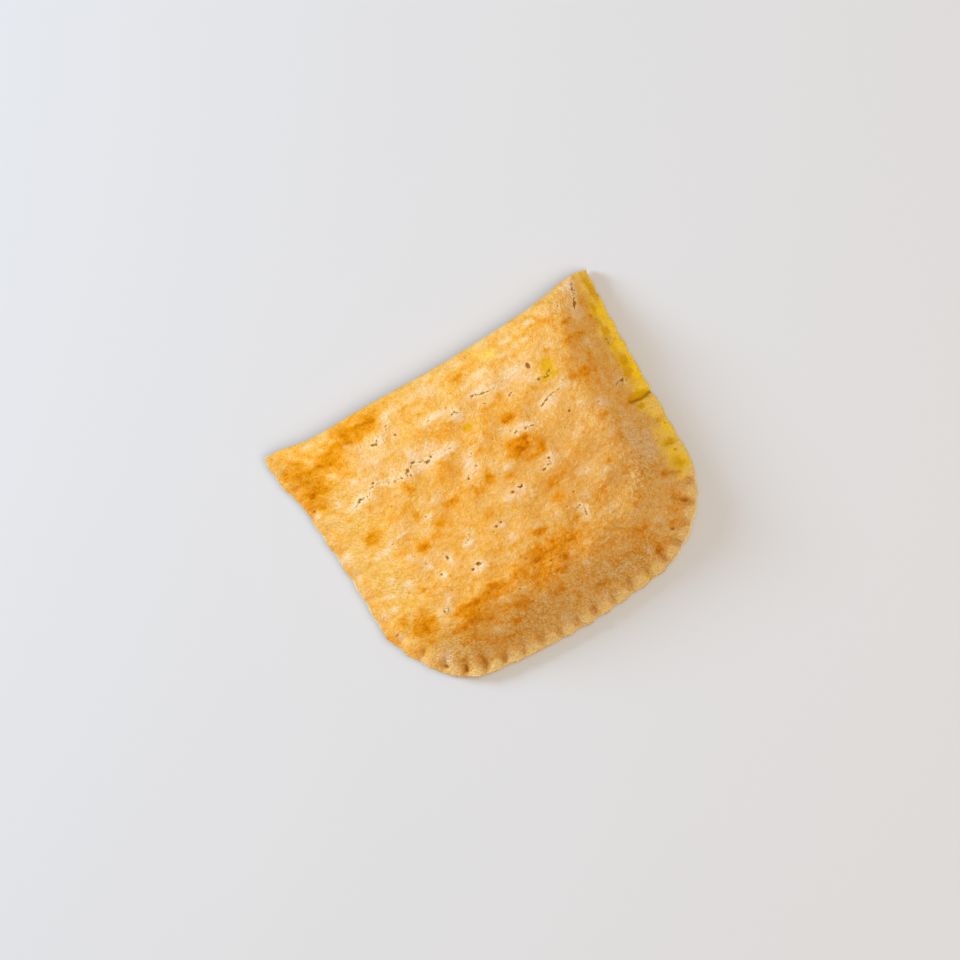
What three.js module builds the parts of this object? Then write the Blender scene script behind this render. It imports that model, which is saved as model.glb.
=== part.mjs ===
// A baked Jamaican patty: a sheet of yellow pastry folded over its filling and pressed shut on three sides.
// Millimetres, +Z up. +X runs along the fold, +Y points at the fold, and the flat underside lies on z = 0.
//
// The patty is one closed skin. Its grid is laid out like a picture and its frame: a patch of columns and
// rows covers the middle of the top, and a band of rings leads from the patch out to the rim, down the side
// and under the patty, where a flat fan closes it.

import * as THREE from "three";

const { clamp, lerp: mix, smoothstep } = THREE.MathUtils;
const point = (x, y) => new THREE.Vector2(x, y);
const bell = (distance, width) => Math.exp(-((distance / width) ** 2));

// ---- The plan of the patty, seen from above ----
const FOLD_HALF_LENGTH = 67.4; // the fold runs from tip to tip
const TIP_Y = 55.1; // how far back the two tips of the fold lie
const FOLD_SAG = 3.2; // the middle of the fold lies this far in front of its tips
const NOTCH = point(-64.4, 34.5); // below the left tip the side steps in
const LEFT_HALF_WIDTH = 62.2; // the left side at its narrowest, where its front corner begins
const RIGHT_HALF_WIDTH = 66.0; // the same on the right, where the patty stays wider
const CORNER_START_Y = -19.5; // where the straight sides turn into the rounded front corners
const FRONT_START_X = -36; // where the left front corner meets the front edge
const FRONT_END_X = 34; // where the front edge meets the right front corner
const FRONT_CORNER_Y = -53.4; // how far forward those two places lie
const FRONT_BOW = 2.5; // the front edge bows out between them by this much

const LEFT_TIP = point(-FOLD_HALF_LENGTH, TIP_Y);
const LEFT_END = point(-LEFT_HALF_WIDTH, CORNER_START_Y);
const FRONT_START = point(FRONT_START_X, FRONT_CORNER_Y);
const FRONT_END = point(FRONT_END_X, FRONT_CORNER_Y);
const RIGHT_END = point(RIGHT_HALF_WIDTH, CORNER_START_Y);
const RIGHT_TIP = point(FOLD_HALF_LENGTH, TIP_Y);

// The pressed rim, anticlockwise from the left tip round the front to the right tip. Each stretch is a cubic
// curve that sets off from its start by the first pull and comes in to its end by the second.
const RIM_STRETCHES = [
  { start: LEFT_TIP, setOff: point(-0.6, -7.1), comeIn: point(2.6, -5.5), end: NOTCH },
  { start: NOTCH, setOff: point(1.2, -16.5), comeIn: point(-0.4, -21.5), end: LEFT_END },
  { start: LEFT_END, setOff: point(0.6, -11.5), comeIn: point(14, -1.8), end: FRONT_START },
  {
    start: FRONT_START,
    setOff: point(24, (-4 / 3) * FRONT_BOW),
    comeIn: point(22.7, (4 / 3) * FRONT_BOW),
    end: FRONT_END,
  },
  { start: FRONT_END, setOff: point(18, 2.4), comeIn: point(0.4, 16.5), end: RIGHT_END },
  { start: RIGHT_END, setOff: point(0.2, 24.5), comeIn: point(1.6, 25.1), end: RIGHT_TIP },
];

// The fold, from the right tip back to the left one: nearly straight, and drawn in between its tips.
const FOLD_MIDDLE_Y = TIP_Y - FOLD_SAG;
const FOLD_POINTS = [
  RIGHT_TIP,
  point(60, TIP_Y + 0.9),
  point(44, TIP_Y - 1.5),
  point(24, FOLD_MIDDLE_Y + 0.5),
  point(0, FOLD_MIDDLE_Y),
  point(-26, FOLD_MIDDLE_Y + 0.6),
  point(-48, FOLD_MIDDLE_Y + 0.5),
  point(-60, TIP_Y - 0.8),
  LEFT_TIP,
];

// ---- The crimps pressed into the rim ----
const SIDE_CRIMPS = 11; // from each tip to the middle of the front corner on its side
const FRONT_CRIMPS = 15; // between the middles of the two front corners
const CRIMPS = 2 * SIDE_CRIMPS + FRONT_CRIMPS;
const CRIMP_SHIFT = 9; // crimps were pressed by hand: number 12 sits this much further along than evenly
const CRIMP_SHIFT_AT = 12;
const CRIMP_SHIFT_SPAN = 6; // the shift dies away over this many crimps on both sides
const CRIMP_DEPTH = 1.7;
const CRIMP_WIDTH = 1.35; // half width of one dent along the rim
const CRIMP_MIDDLE = 3.9; // how far in from the rim a dent is deepest
const CRIMP_REACH = 2.6; // half length of a dent across the rim
const CRIMP_LEAST = 0.7; // the lightest crimp, as a share of the depth
const CRIMP_SPREAD = 0.45; // the firmest one is deeper by this share
const CRIMP_BEAT = 2.1; // how quickly light and firm ones take turns, in radians a crimp
const LEFT_SIDE_SHARE = 0.55; // crimps on the left side are fainter
const CRIMPS_FADE = { from: 3, to: 10 }; // and all die away at this distance from the fold
const SCALLOP = 0.45; // the rim bulges out this far between two dents

// ---- Heights ----
const CROWN_HEIGHT = 18.4; // top of the dome over the filling
const CROWN_MIDDLE = { x: 10, y: 8 }; // the dome is highest here, nearer the fold than the front
const CROWN_DROP_ACROSS = 1.6; // the dome is this much lower one fold half length to the side
const CROWN_DROP_ALONG = 3.0; // and this much lower half a depth to the front
const RIM_TOP = 3.5; // upper face of the pressed rim
const RIM_UNDERSIDE = 0.6; // the baked rim lifts off the tray by this much
const FOLD_TOP = 6.4; // the rounded fold is widest between these two heights
const FOLD_UNDERSIDE = 4.6;
const RIM_WIDTH = 4.5; // the flat pressed rim, before the dome starts to rise
const RIM_WIDTH_AT_FOLD = 1.8; // the same at the tips, where it runs into the fold
const RIM_RISE = 22; // distance over which the dome rises from the rim
const FOLD_RISE = 20; // distance over which it rises from the fold
const RIM_ROUNDING = { height: 0.25, width: 2 }; // the rim's upper edge is a little rounded
const UNDERSIDE_ROUND = 8; // the underside is flat from this distance in
const LAYER_STEP = 0.6; // the upper sheet ends this far inside the lower one
const TIP_EASING = 5; // near the tips, rim and fold pass into each other over about this distance
const FULL_FOLD_SHARE = 0.75; // how much nearer the fold than the rim a place is to count as fold alone

// ---- Uneven places ----
const CORNER_PUFF = { x: 55, y: 46, radius: 13, height: 2.4 }; // the puffed back right corner
const FILLING_LUMPS = [
  { x: -27, y: 22, radius: 13, height: 0.9 },
  { x: 14, y: 12, radius: 15, height: 1.0 },
  { x: -18, y: -20, radius: 14, height: 0.8 },
  { x: 30, y: -26, radius: 13, height: 0.9 },
  { x: 46, y: 8, radius: 12, height: 0.8 },
  { x: -47, y: -4, radius: 11, height: 0.7 },
  { x: -6, y: 34, radius: 12, height: 0.7 },
];
const WAVES = 7; // small undulations of the crust
const WAVE_HEIGHT = 0.13;
const WAVE_LENGTH = 13;
const WAVE_LENGTH_SPREAD = 0.17;
const WAVE_TURN = Math.PI * (3 - Math.sqrt(5)); // the golden angle spreads their directions evenly
const WAVE_BEAT = 2.3; // makes their lengths differ
const WAVE_PHASE = 1.7; // and keeps their crests apart

// ---- Cracks, where the crust burst along the fold's direction while it baked ----
const CRACK_DEPTH = 0.75;
const CRACK_WIDTH = 1.1; // half width
const CRACKS = [
  // the long one left of the middle, in two halves
  [point(-48, 23.7), point(-38.8, 26.7), point(-24.8, 24.7)],
  [point(-24.8, 24.7), point(-22.8, 27.2), point(-15.8, 25.2), point(-3.8, 25.7)],
  // the pair of long ones behind the middle
  [point(-13.8, 36.7), point(-3.8, 37.2), point(0.2, 34.7), point(18.2, 34.7)],
  [point(22.2, 36.7), point(31.2, 36.2)],
  // the shorter ones right of the middle and in the middle
  [point(26.2, 19.7), point(30.2, 21.7), point(39.2, 24.7), point(42.2, 21.7)],
  [point(14.2, 17.7), point(19.2, 18.2), point(25.2, 16.2)],
  [point(0.2, -1.3), point(8.2, 0.2)],
  [point(23.2, 5.7), point(18.2, 0.7)],
  // the one that runs down from the fold in the back right corner
  [point(59.2, 52.7), point(58.2, 50.2), point(56.2, 45.7)],
];

// ---- The grid ----
const STEPS_PER_CRIMP = 4;
const SIDE_CELLS = SIDE_CRIMPS * STEPS_PER_CRIMP; // cells of the patch from the fold to the front
const FRONT_CELLS = FRONT_CRIMPS * STEPS_PER_CRIMP; // cells of the patch from left to right
const CORNER_COLUMNS = [0, SIDE_CELLS, SIDE_CELLS + FRONT_CELLS, 2 * SIDE_CELLS + FRONT_CELLS];
const PATCH_SCALE = 0.84; // the patch's corners, as a share of the way out to the rim
const BAND_RINGS = 8;
const BAND_CROWDING = 1.35; // rings lie closer together towards the rim
const UNDER_RINGS = [0.035, 0.075, 0.15]; // rings under the patty, as shares of the way in
const OUTLINE_DETAIL = 4; // finer copies of the rim, for measuring distances to it

// The rings down the side: the upper sheet's cut edge, then the lower sheet, which reaches a little further
// out. Inset is a share of the step between the sheets, and height a share of the edge's own.
const SIDE_RINGS = [
  { inset: 0.75, height: 0.5 },
  { inset: 0, height: 0.36 },
  { inset: 0.25, height: 0 },
];

const CRUST_COLOUR = 0xe3a550;
const CRUST_ROUGHNESS = 0.6;

function crimpedRun() {
  const run = new THREE.CurvePath();
  for (const { start, setOff, comeIn, end } of RIM_STRETCHES)
    run.add(new THREE.CubicBezierCurve(start, start.clone().add(setOff), end.clone().sub(comeIn), end));
  return run;
}

const crimpedCurve = crimpedRun();
const rimLength = crimpedCurve.getLength();

// How far along the pressed rim, from 0 to 1, crimp number k lies. Between two whole numbers lies a bulge.
function crimpPlace(k) {
  const heldAtTips = clamp(k, 0, 1) * clamp(CRIMPS - k, 0, 1);
  const shift = CRIMP_SHIFT * bell(k - CRIMP_SHIFT_AT, CRIMP_SHIFT_SPAN) * heldAtTips;
  return k / CRIMPS + shift / rimLength;
}

const outlineSteps = CRIMPS * STEPS_PER_CRIMP * OUTLINE_DETAIL;
const crimpedLine = Array.from({ length: outlineSteps + 1 }, (_, i) =>
  crimpedCurve.getPoint(crimpPlace((CRIMPS * i) / outlineSteps)),
);
const foldLine = new THREE.SplineCurve(FOLD_POINTS).getSpacedPoints(FRONT_CELLS * OUTLINE_DETAIL);

// Distance from (x, y) to a line of points, and how far along it, from 0 to 1, the nearest place lies.
function nearest(line, x, y) {
  let best = Infinity;
  let along = 0;
  for (let i = 0; i + 1 < line.length; i++) {
    const a = line[i];
    const b = line[i + 1];
    const dx = b.x - a.x;
    const dy = b.y - a.y;
    const t = clamp(((x - a.x) * dx + (y - a.y) * dy) / (dx * dx + dy * dy), 0, 1);
    const distance = Math.hypot(x - a.x - t * dx, y - a.y - t * dy);
    if (distance < best) {
      best = distance;
      along = (i + t) / (line.length - 1);
    }
  }
  return { distance: best, along };
}

// What a place on the patty needs to know about the edge: how far the pressed rim and the fold are.
function edgesAt(x, y) {
  const rim = nearest(crimpedLine, x, y);
  const fold = nearest(foldLine, x, y);
  return { rim: rim.distance, fold: fold.distance, crimp: rim.along * CRIMPS };
}

// 0 on the pressed rim and 1 on the fold, easing over near the tips.
const foldShare = ({ rim, fold }) => smoothstep(rim / (rim + fold + TIP_EASING), 0, FULL_FOLD_SHARE);

// Small undulations: plane waves whose directions turn by the golden angle.
function waves(x, y) {
  let sum = 0;
  for (let k = 0; k < WAVES; k++) {
    const length = WAVE_LENGTH * (1 + WAVE_LENGTH_SPREAD * Math.cos(WAVE_BEAT * k));
    const across = x * Math.cos(WAVE_TURN * k) + y * Math.sin(WAVE_TURN * k);
    sum += Math.sin((2 * Math.PI * across) / length + WAVE_PHASE * k * k);
  }
  return WAVE_HEIGHT * sum;
}

// The height of the dome before its edges are pressed down.
function crownAt(x, y) {
  const across = ((x - CROWN_MIDDLE.x) / FOLD_HALF_LENGTH) ** 2;
  const along = ((y - CROWN_MIDDLE.y) / TIP_Y) ** 2;
  let height = CROWN_HEIGHT - CROWN_DROP_ACROSS * across - CROWN_DROP_ALONG * along + waves(x, y);
  for (const lump of [...FILLING_LUMPS, CORNER_PUFF])
    height += lump.height * bell(Math.hypot(x - lump.x, y - lump.y), lump.radius);
  return height;
}

// How deep the cracks are at a place.
function crackAt(x, y) {
  const distance = Math.min(...CRACKS.map((crack) => nearest(crack, x, y).distance));
  return CRACK_DEPTH * bell(distance, CRACK_WIDTH);
}

// How deep the crimps are at a place: a row of short dents across the rim.
function crimpAt({ rim, fold, crimp }) {
  const number = Math.round(crimp);
  const off = ((crimp - number) * rimLength) / CRIMPS;
  const firmness = CRIMP_LEAST + CRIMP_SPREAD * Math.sin(CRIMP_BEAT * number) ** 2;
  const side = mix(LEFT_SIDE_SHARE, 1, smoothstep(crimp, SIDE_CRIMPS - 3, SIDE_CRIMPS));
  const clearOfFold = smoothstep(fold, CRIMPS_FADE.from, CRIMPS_FADE.to);
  const dent = bell(off, CRIMP_WIDTH) * bell(rim - CRIMP_MIDDLE, CRIMP_REACH);
  return CRIMP_DEPTH * firmness * side * clearOfFold * dent;
}

// The top: a pillow that is steep at its foot and level at its top, with a rounded back along the fold.
function topAt(x, y) {
  const edges = edgesAt(x, y);
  const share = foldShare(edges);
  const edgeTop = mix(RIM_TOP, FOLD_TOP, share);
  const fromFoot = clamp((edges.rim - mix(RIM_WIDTH, RIM_WIDTH_AT_FOLD, share)) / RIM_RISE, 0, 1);
  const rimRise = Math.sin((Math.PI / 2) * fromFoot);
  const foldRise = Math.sqrt(1 - (1 - clamp(edges.fold / FOLD_RISE, 0, 1)) ** 2);
  const rounding = RIM_ROUNDING.height * clamp(edges.rim / RIM_ROUNDING.width, 0, 1);
  const dome = (crownAt(x, y) - edgeTop) * rimRise * foldRise;
  return edgeTop + rounding + dome - crimpAt(edges) - crackAt(x, y);
}

// The underside: flat in the middle, and curving up a little towards the rim and more towards the fold.
function underAt(x, y) {
  const edges = edgesAt(x, y);
  const edgeUnderside = mix(RIM_UNDERSIDE, FOLD_UNDERSIDE, foldShare(edges));
  const inwards = clamp(Math.min(edges.rim, edges.fold) / UNDERSIDE_ROUND, 0, 1);
  return edgeUnderside * (1 - Math.sqrt(1 - (1 - inwards) ** 2));
}

// The rim seen from above: one point for each column of the band, scalloped between the dents.
function rimPoints() {
  const onColumns = (_, i) => i % OUTLINE_DETAIL === 0;
  const pressed = crimpedLine.filter(onColumns).slice(0, -1);
  const folded = foldLine.filter(onColumns).slice(0, -1);
  const scalloped = pressed.map((p, i) => {
    const inwards = SCALLOP * (0.5 + 0.5 * Math.cos((2 * Math.PI * i) / STEPS_PER_CRIMP));
    return insetPoint(p, inwards);
  });
  return [...scalloped, ...folded];
}

// A point moved inwards, towards the middle of the patty.
function insetPoint(p, inset) {
  return p.clone().setLength(p.length() - inset);
}

// The patch's border, with one point for each rim point, on straight lines between its four corners.
function patchBorder(corners) {
  const cells = [SIDE_CELLS, FRONT_CELLS, SIDE_CELLS, FRONT_CELLS];
  return cells.flatMap((count, k) =>
    Array.from({ length: count }, (_, i) => corners[k].clone().lerp(corners[(k + 1) % 4], i / count)),
  );
}

// One closed skin: the patch on top, then the rings outwards, down and under, then the fan.
function pattySkin() {
  const rim = rimPoints();
  const corners = CORNER_COLUMNS.map((k) => rim[k].clone().multiplyScalar(PATCH_SCALE));
  const border = patchBorder(corners);
  const positions = [];
  const triangles = [];
  const addPoint = (x, y, z) => positions.push(x, y, z) / 3 - 1;

  // Four corners make two triangles, given anticlockwise as seen from outside.
  const addQuad = (a, b, c, d) => triangles.push(a, b, c, a, c, d);

  // The middle of the top: rows from the fold to the front, each from left to right.
  const [backLeft, frontLeft, frontRight, backRight] = corners;
  const patch = [];
  for (let i = 0; i <= SIDE_CELLS; i++) {
    const left = backLeft.clone().lerp(frontLeft, i / SIDE_CELLS);
    const right = backRight.clone().lerp(frontRight, i / SIDE_CELLS);
    patch.push(
      Array.from({ length: FRONT_CELLS + 1 }, (_, j) => {
        const p = left.clone().lerp(right, j / FRONT_CELLS);
        return addPoint(p.x, p.y, topAt(p.x, p.y));
      }),
    );
  }
  for (let i = 0; i < SIDE_CELLS; i++)
    for (let j = 0; j < FRONT_CELLS; j++)
      addQuad(patch[i][j], patch[i + 1][j], patch[i + 1][j + 1], patch[i][j + 1]);

  // Each later ring is joined to the one before it, which lies nearer the middle of the top.
  let ring = [
    ...Array.from({ length: SIDE_CELLS }, (_, i) => patch[i][0]),
    ...Array.from({ length: FRONT_CELLS }, (_, j) => patch[SIDE_CELLS][j]),
    ...Array.from({ length: SIDE_CELLS }, (_, i) => patch[SIDE_CELLS - i][FRONT_CELLS]),
    ...Array.from({ length: FRONT_CELLS }, (_, j) => patch[0][FRONT_CELLS - j]),
  ];
  const addRing = (placeAt) => {
    const next = rim.map((_, k) => addPoint(...placeAt(k)));
    for (let k = 0; k < rim.length; k++) {
      const after = (k + 1) % rim.length;
      addQuad(ring[k], next[k], next[after], ring[after]);
    }
    ring = next;
  };

  const edge = rim.map((p) => ({
    step: LAYER_STEP * (1 - foldShare(edgesAt(p.x, p.y))),
    top: topAt(p.x, p.y),
    under: underAt(p.x, p.y),
  }));

  for (let r = 1; r <= BAND_RINGS; r++) {
    const outwards = 1 - (1 - r / BAND_RINGS) ** BAND_CROWDING;
    addRing((k) => {
      const p = border[k].clone().lerp(insetPoint(rim[k], edge[k].step), outwards);
      return [p.x, p.y, topAt(p.x, p.y)];
    });
  }
  for (const { inset, height } of SIDE_RINGS)
    addRing((k) => {
      const p = insetPoint(rim[k], inset * edge[k].step);
      return [p.x, p.y, mix(edge[k].under, edge[k].top, height)];
    });
  for (const inwards of UNDER_RINGS)
    addRing((k) => {
      const p = rim[k].clone().multiplyScalar(1 - inwards);
      return [p.x, p.y, underAt(p.x, p.y)];
    });

  const middle = addPoint(0, 0, 0);
  for (let k = 0; k < rim.length; k++) triangles.push(ring[k], middle, ring[(k + 1) % rim.length]);

  const skin = new THREE.BufferGeometry();
  skin.setAttribute("position", new THREE.Float32BufferAttribute(positions, 3));
  skin.setIndex(triangles);
  skin.computeVertexNormals();
  skin.computeBoundingBox();
  const boxMiddle = skin.boundingBox.getCenter(new THREE.Vector3());
  return skin.translate(-boxMiddle.x, -boxMiddle.y, 0); // the origin is the middle of the outline's box
}

const crust = new THREE.MeshStandardMaterial({ color: CRUST_COLOUR, roughness: CRUST_ROUGHNESS });
const patty = new THREE.Mesh(pattySkin(), crust);
patty.name = "patty";

const part = new THREE.Group();
part.add(patty);

export default part;
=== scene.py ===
# %% [markdown]
# # A baked Jamaican patty
#
# A patty is one sheet of yellow pastry, folded over a filling and pressed shut on three sides. Seen from
# above it is a rounded square with two pointed tips at the ends of the fold, and its charm is all in the
# crust: cream where it blistered, orange where it browned, with dotted cracks along the fold's direction
# and yellow rims.
#
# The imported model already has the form. Here the same form is worked out again on a grid of about half a
# millimetre, fine enough to carry the crimps, cracks, pits and blisters as real shape.

import math

import bpy
import numpy as np
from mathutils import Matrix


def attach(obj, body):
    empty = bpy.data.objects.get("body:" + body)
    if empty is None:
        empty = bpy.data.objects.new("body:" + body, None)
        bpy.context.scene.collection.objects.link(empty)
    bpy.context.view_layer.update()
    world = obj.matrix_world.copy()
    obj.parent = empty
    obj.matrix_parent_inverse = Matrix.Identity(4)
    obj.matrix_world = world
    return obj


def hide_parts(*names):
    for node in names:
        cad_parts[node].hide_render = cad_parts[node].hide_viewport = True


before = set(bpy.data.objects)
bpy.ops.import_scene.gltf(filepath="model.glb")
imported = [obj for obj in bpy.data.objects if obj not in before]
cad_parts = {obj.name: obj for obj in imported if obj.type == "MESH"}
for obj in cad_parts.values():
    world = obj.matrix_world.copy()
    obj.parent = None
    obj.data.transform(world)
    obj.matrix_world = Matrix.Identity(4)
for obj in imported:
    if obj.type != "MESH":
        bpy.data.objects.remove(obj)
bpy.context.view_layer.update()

# %% [markdown]
# ## The outline
#
# Blender works in metres, but a patty is easier to read in millimetres, so every size below is in
# millimetres and the finished points are scaled once. X runs along the fold and Y points at it. The pressed
# rim is a chain of cubic curves between named places, and the fold is a smooth curve through a few points.
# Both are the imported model's own, written out again because this file can't read the other one.

# %% Places on the outline
MM = 0.001
FOLD_HALF_LENGTH = 67.4
TIP_Y = 55.1
FOLD_SAG = 3.2
LEFT_TIP = (-FOLD_HALF_LENGTH, TIP_Y)
RIGHT_TIP = (FOLD_HALF_LENGTH, TIP_Y)
NOTCH = (-64.4, 34.5)
LEFT_END = (-62.2, -19.5)
RIGHT_END = (66.0, -19.5)
FRONT_START = (-36.0, -53.4)
FRONT_END = (34.0, -53.4)
FRONT_BOW = 2.5

# Each stretch: where it starts, the pull it sets off with, the pull it comes in with, where it ends.
RIM_STRETCHES = [
    (LEFT_TIP, (-0.6, -7.1), (2.6, -5.5), NOTCH),
    (NOTCH, (1.2, -16.5), (-0.4, -21.5), LEFT_END),
    (LEFT_END, (0.6, -11.5), (14, -1.8), FRONT_START),
    (FRONT_START, (24, -4 / 3 * FRONT_BOW), (22.7, 4 / 3 * FRONT_BOW), FRONT_END),
    (FRONT_END, (18, 2.4), (0.4, 16.5), RIGHT_END),
    (RIGHT_END, (0.2, 24.5), (1.6, 25.1), RIGHT_TIP),
]
FOLD_MIDDLE_Y = TIP_Y - FOLD_SAG
FOLD_POINTS = [
    RIGHT_TIP,
    (60, TIP_Y + 0.9),
    (44, TIP_Y - 1.5),
    (24, FOLD_MIDDLE_Y + 0.5),
    (0, FOLD_MIDDLE_Y),
    (-26, FOLD_MIDDLE_Y + 0.6),
    (-48, FOLD_MIDDLE_Y + 0.5),
    (-60, TIP_Y - 0.8),
    LEFT_TIP,
]
print("tip to tip, mm:", 2 * FOLD_HALF_LENGTH)


# %% Curves and how to walk along them
def bezier(start, set_off, come_in, end, steps=120):
    """B(t) = (1-t)^3 A + 3 (1-t)^2 t (A + a) + 3 (1-t) t^2 (D - d) + t^3 D, for t from 0 to 1."""
    a, pull_a, pull_d, d = (np.array(place, float) for place in (start, set_off, come_in, end))
    t = np.linspace(0, 1, steps + 1)[:, None]
    u = 1 - t
    return u**3 * a + 3 * u**2 * t * (a + pull_a) + 3 * u * t**2 * (d - pull_d) + t**3 * d


def smooth_through(points, steps=40):
    """Hermite curves between the points, a point's tangent being half the step between its two neighbours."""
    p = np.array(points, float)
    before = np.vstack([p[:1], p[:-1]])
    after = np.vstack([p[1:], p[-1:]])
    tangent = (after - before) / 2
    t = np.linspace(0, 1, steps, endpoint=False)[:, None, None]
    p0, p1, m0, m1 = p[:-1], p[1:], tangent[:-1], tangent[1:]
    leaving = (2 * t**3 - 3 * t**2 + 1) * p0 + (t**3 - 2 * t**2 + t) * m0
    curve = leaving + (3 * t**2 - 2 * t**3) * p1 + (t**3 - t**2) * m1
    return np.vstack([curve.transpose(1, 0, 2).reshape(-1, 2), p[-1:]])


def line_length(line):
    """The sum of |p(i+1) - p(i)|."""
    return np.hypot(*np.diff(line, axis=0).T).sum()


def resample(line, shares):
    """The points at the given shares, from 0 to 1, of a line's running length."""
    running = np.concatenate([[0], np.cumsum(np.hypot(*np.diff(line, axis=0).T))])
    at = np.asarray(shares) * running[-1]
    return np.column_stack([np.interp(at, running, line[:, axis]) for axis in (0, 1)])


def bell(distance, width):
    """exp(-(distance / width)^2)"""
    return np.exp(-((distance / width) ** 2))


def ease(value, low, high):
    """0 below low, 1 above high, and 3 s^2 - 2 s^3 between them, with s the share of the way."""
    s = np.clip((value - low) / (high - low), 0, 1)
    return s * s * (3 - 2 * s)


def mix(a, b, share):
    """a + (b - a) share"""
    return a + (b - a) * share


rim_curve = np.vstack([bezier(*stretch) for stretch in RIM_STRETCHES])
fold_curve = smooth_through(FOLD_POINTS)
rim_length = line_length(rim_curve)
print(f"pressed rim {rim_length:.0f} mm long, fold {line_length(fold_curve):.0f} mm")

# %% [markdown]
# ## The crimps
#
# The crimps are pressed by hand, so they aren't quite even: along the left they stand further apart and
# along the front closer together. One number, k, counts them round the rim, and whole numbers are dents.
# Taking the rim's points at even steps of k, and not of length, puts a column of the grid into the middle
# of every dent.

# %% Crimps and the columns of the grid
SIDE_CRIMPS = 11
FRONT_CRIMPS = 15
CRIMPS = 2 * SIDE_CRIMPS + FRONT_CRIMPS
CRIMP_SHIFT = 9.0
CRIMP_SHIFT_AT = 12
CRIMP_SHIFT_SPAN = 6

COLUMNS_PER_SIDE_CRIMP = 24
COLUMNS_PER_FRONT_CRIMP = 16
SIDE_CELLS = SIDE_CRIMPS * COLUMNS_PER_SIDE_CRIMP
FRONT_CELLS = FRONT_CRIMPS * COLUMNS_PER_FRONT_CRIMP


def crimp_place(k):
    """The rim's share at crimp k: k / CRIMPS, shifted by a bell of CRIMP_SHIFT mm round CRIMP_SHIFT_AT."""
    held_at_tips = np.clip(k, 0, 1) * np.clip(CRIMPS - k, 0, 1)
    shift = CRIMP_SHIFT * bell(k - CRIMP_SHIFT_AT, CRIMP_SHIFT_SPAN) * held_at_tips
    return k / CRIMPS + shift / rim_length


crimp_line = resample(rim_curve, crimp_place(np.linspace(0, CRIMPS, CRIMPS * 12 + 1)))
fold_line = resample(fold_curve, np.linspace(0, 1, 121))
column_crimps = np.concatenate(
    [
        np.arange(SIDE_CELLS) / COLUMNS_PER_SIDE_CRIMP,
        SIDE_CRIMPS + np.arange(FRONT_CELLS) / COLUMNS_PER_FRONT_CRIMP,
        SIDE_CRIMPS + FRONT_CRIMPS + np.arange(SIDE_CELLS) / COLUMNS_PER_SIDE_CRIMP,
    ]
)
pressed = resample(rim_curve, crimp_place(column_crimps))
folded = resample(fold_curve, np.arange(FRONT_CELLS) / FRONT_CELLS)
rim_points = np.vstack([pressed, folded])
COLUMNS = len(rim_points)
print(f"{CRIMPS} crimps, {COLUMNS} columns round the patty")

# %% [markdown]
# ## How far from the edge
#
# Nearly everything about a point of the patty follows from how far it is from the pressed rim and from the
# fold. Blender can look up the nearest point of a mesh, but only for one point at a time. Here one stretch
# of the line at a time is set against all the points at once.


# %% Distances to lines
def nearest(line, x, y):
    """For each stretch from a to b, t = clamp((p - a).(b - a) / |b - a|^2), and the distance is
    |p - a - t (b - a)|. Returns the least distance, how far along the line from 0 to 1 it lies, and the side,
    +1 on the left."""
    best = np.full(np.shape(x), np.inf)
    along = np.zeros(np.shape(x))
    side = np.ones(np.shape(x))
    stretches = len(line) - 1
    for i in range(stretches):
        ax, ay = line[i]
        bx, by = line[i + 1] - line[i]
        px, py = x - ax, y - ay
        t = np.clip((px * bx + py * by) / (bx * bx + by * by), 0, 1)
        distance = np.hypot(px - t * bx, py - t * by)
        closer = distance < best
        best = np.where(closer, distance, best)
        along = np.where(closer, (i + t) / stretches, along)
        side = np.where(closer, np.where(bx * py - by * px >= 0, 1.0, -1.0), side)
    return best, along, side


print("from (1, 2) to a line along X:", nearest(np.array([(-3.0, 0.0), (3.0, 0.0)]), 1.0, 2.0)[0], "mm")

# %% [markdown]
# ## The form
#
# The top is a pillow. It rises from the pressed rim like a quarter of a sine wave, steep at its foot and
# level on top, and from the fold like a quarter of an ellipse, because there the sheet simply turns over.
# Where the two meet, at the tips, one passes into the other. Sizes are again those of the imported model.

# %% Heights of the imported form
CROWN_HEIGHT = 18.4
CROWN_MIDDLE = (10.0, 8.0)
CROWN_DROP_ACROSS = 1.6
CROWN_DROP_ALONG = 3.0
RIM_TOP = 3.5
RIM_UNDERSIDE = 0.6
FOLD_TOP = 6.4
FOLD_UNDERSIDE = 4.6
RIM_WIDTH = 4.5
RIM_WIDTH_AT_FOLD = 1.8
RIM_RISE = 22.0
FOLD_RISE = 20.0
RIM_ROUNDING = 0.25
RIM_ROUNDING_WIDTH = 2.0
UNDERSIDE_ROUND = 8.0
SHEET_STEP = 0.25
TIP_EASING = 5.0
FULL_FOLD_SHARE = 0.75
SCALLOP = 0.45
FOOT_SOFTNESS = 3.6

# Lumps of the filling and the puffed back right corner: x, y, radius, height.
LUMPS = [
    (-27, 22, 13, 0.9),
    (14, 12, 15, 1.0),
    (-18, -20, 14, 0.8),
    (30, -26, 13, 0.9),
    (46, 8, 12, 0.8),
    (-47, -4, 11, 0.7),
    (-6, 34, 12, 0.7),
    (55, 46, 13, 2.4),
]
WAVES = 7
WAVE_HEIGHT = 0.13
WAVE_LENGTH = 13.0
GOLDEN_ANGLE = math.pi * (3 - math.sqrt(5))
print(f"crown {CROWN_HEIGHT} mm, rim {RIM_TOP} mm and fold {FOLD_TOP} mm above the underside")


class Place:
    """What points on the patty need to know about its edge, all in millimetres."""

    def __init__(self, x, y):
        self.x = x
        self.y = y
        self.rim, along, _ = nearest(crimp_line, x, y)
        self.fold, _, _ = nearest(fold_line, x, y)
        self.crimp = along * CRIMPS
        self.fold_share = ease(self.rim / (self.rim + self.fold + TIP_EASING), 0, FULL_FOLD_SHARE)


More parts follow.
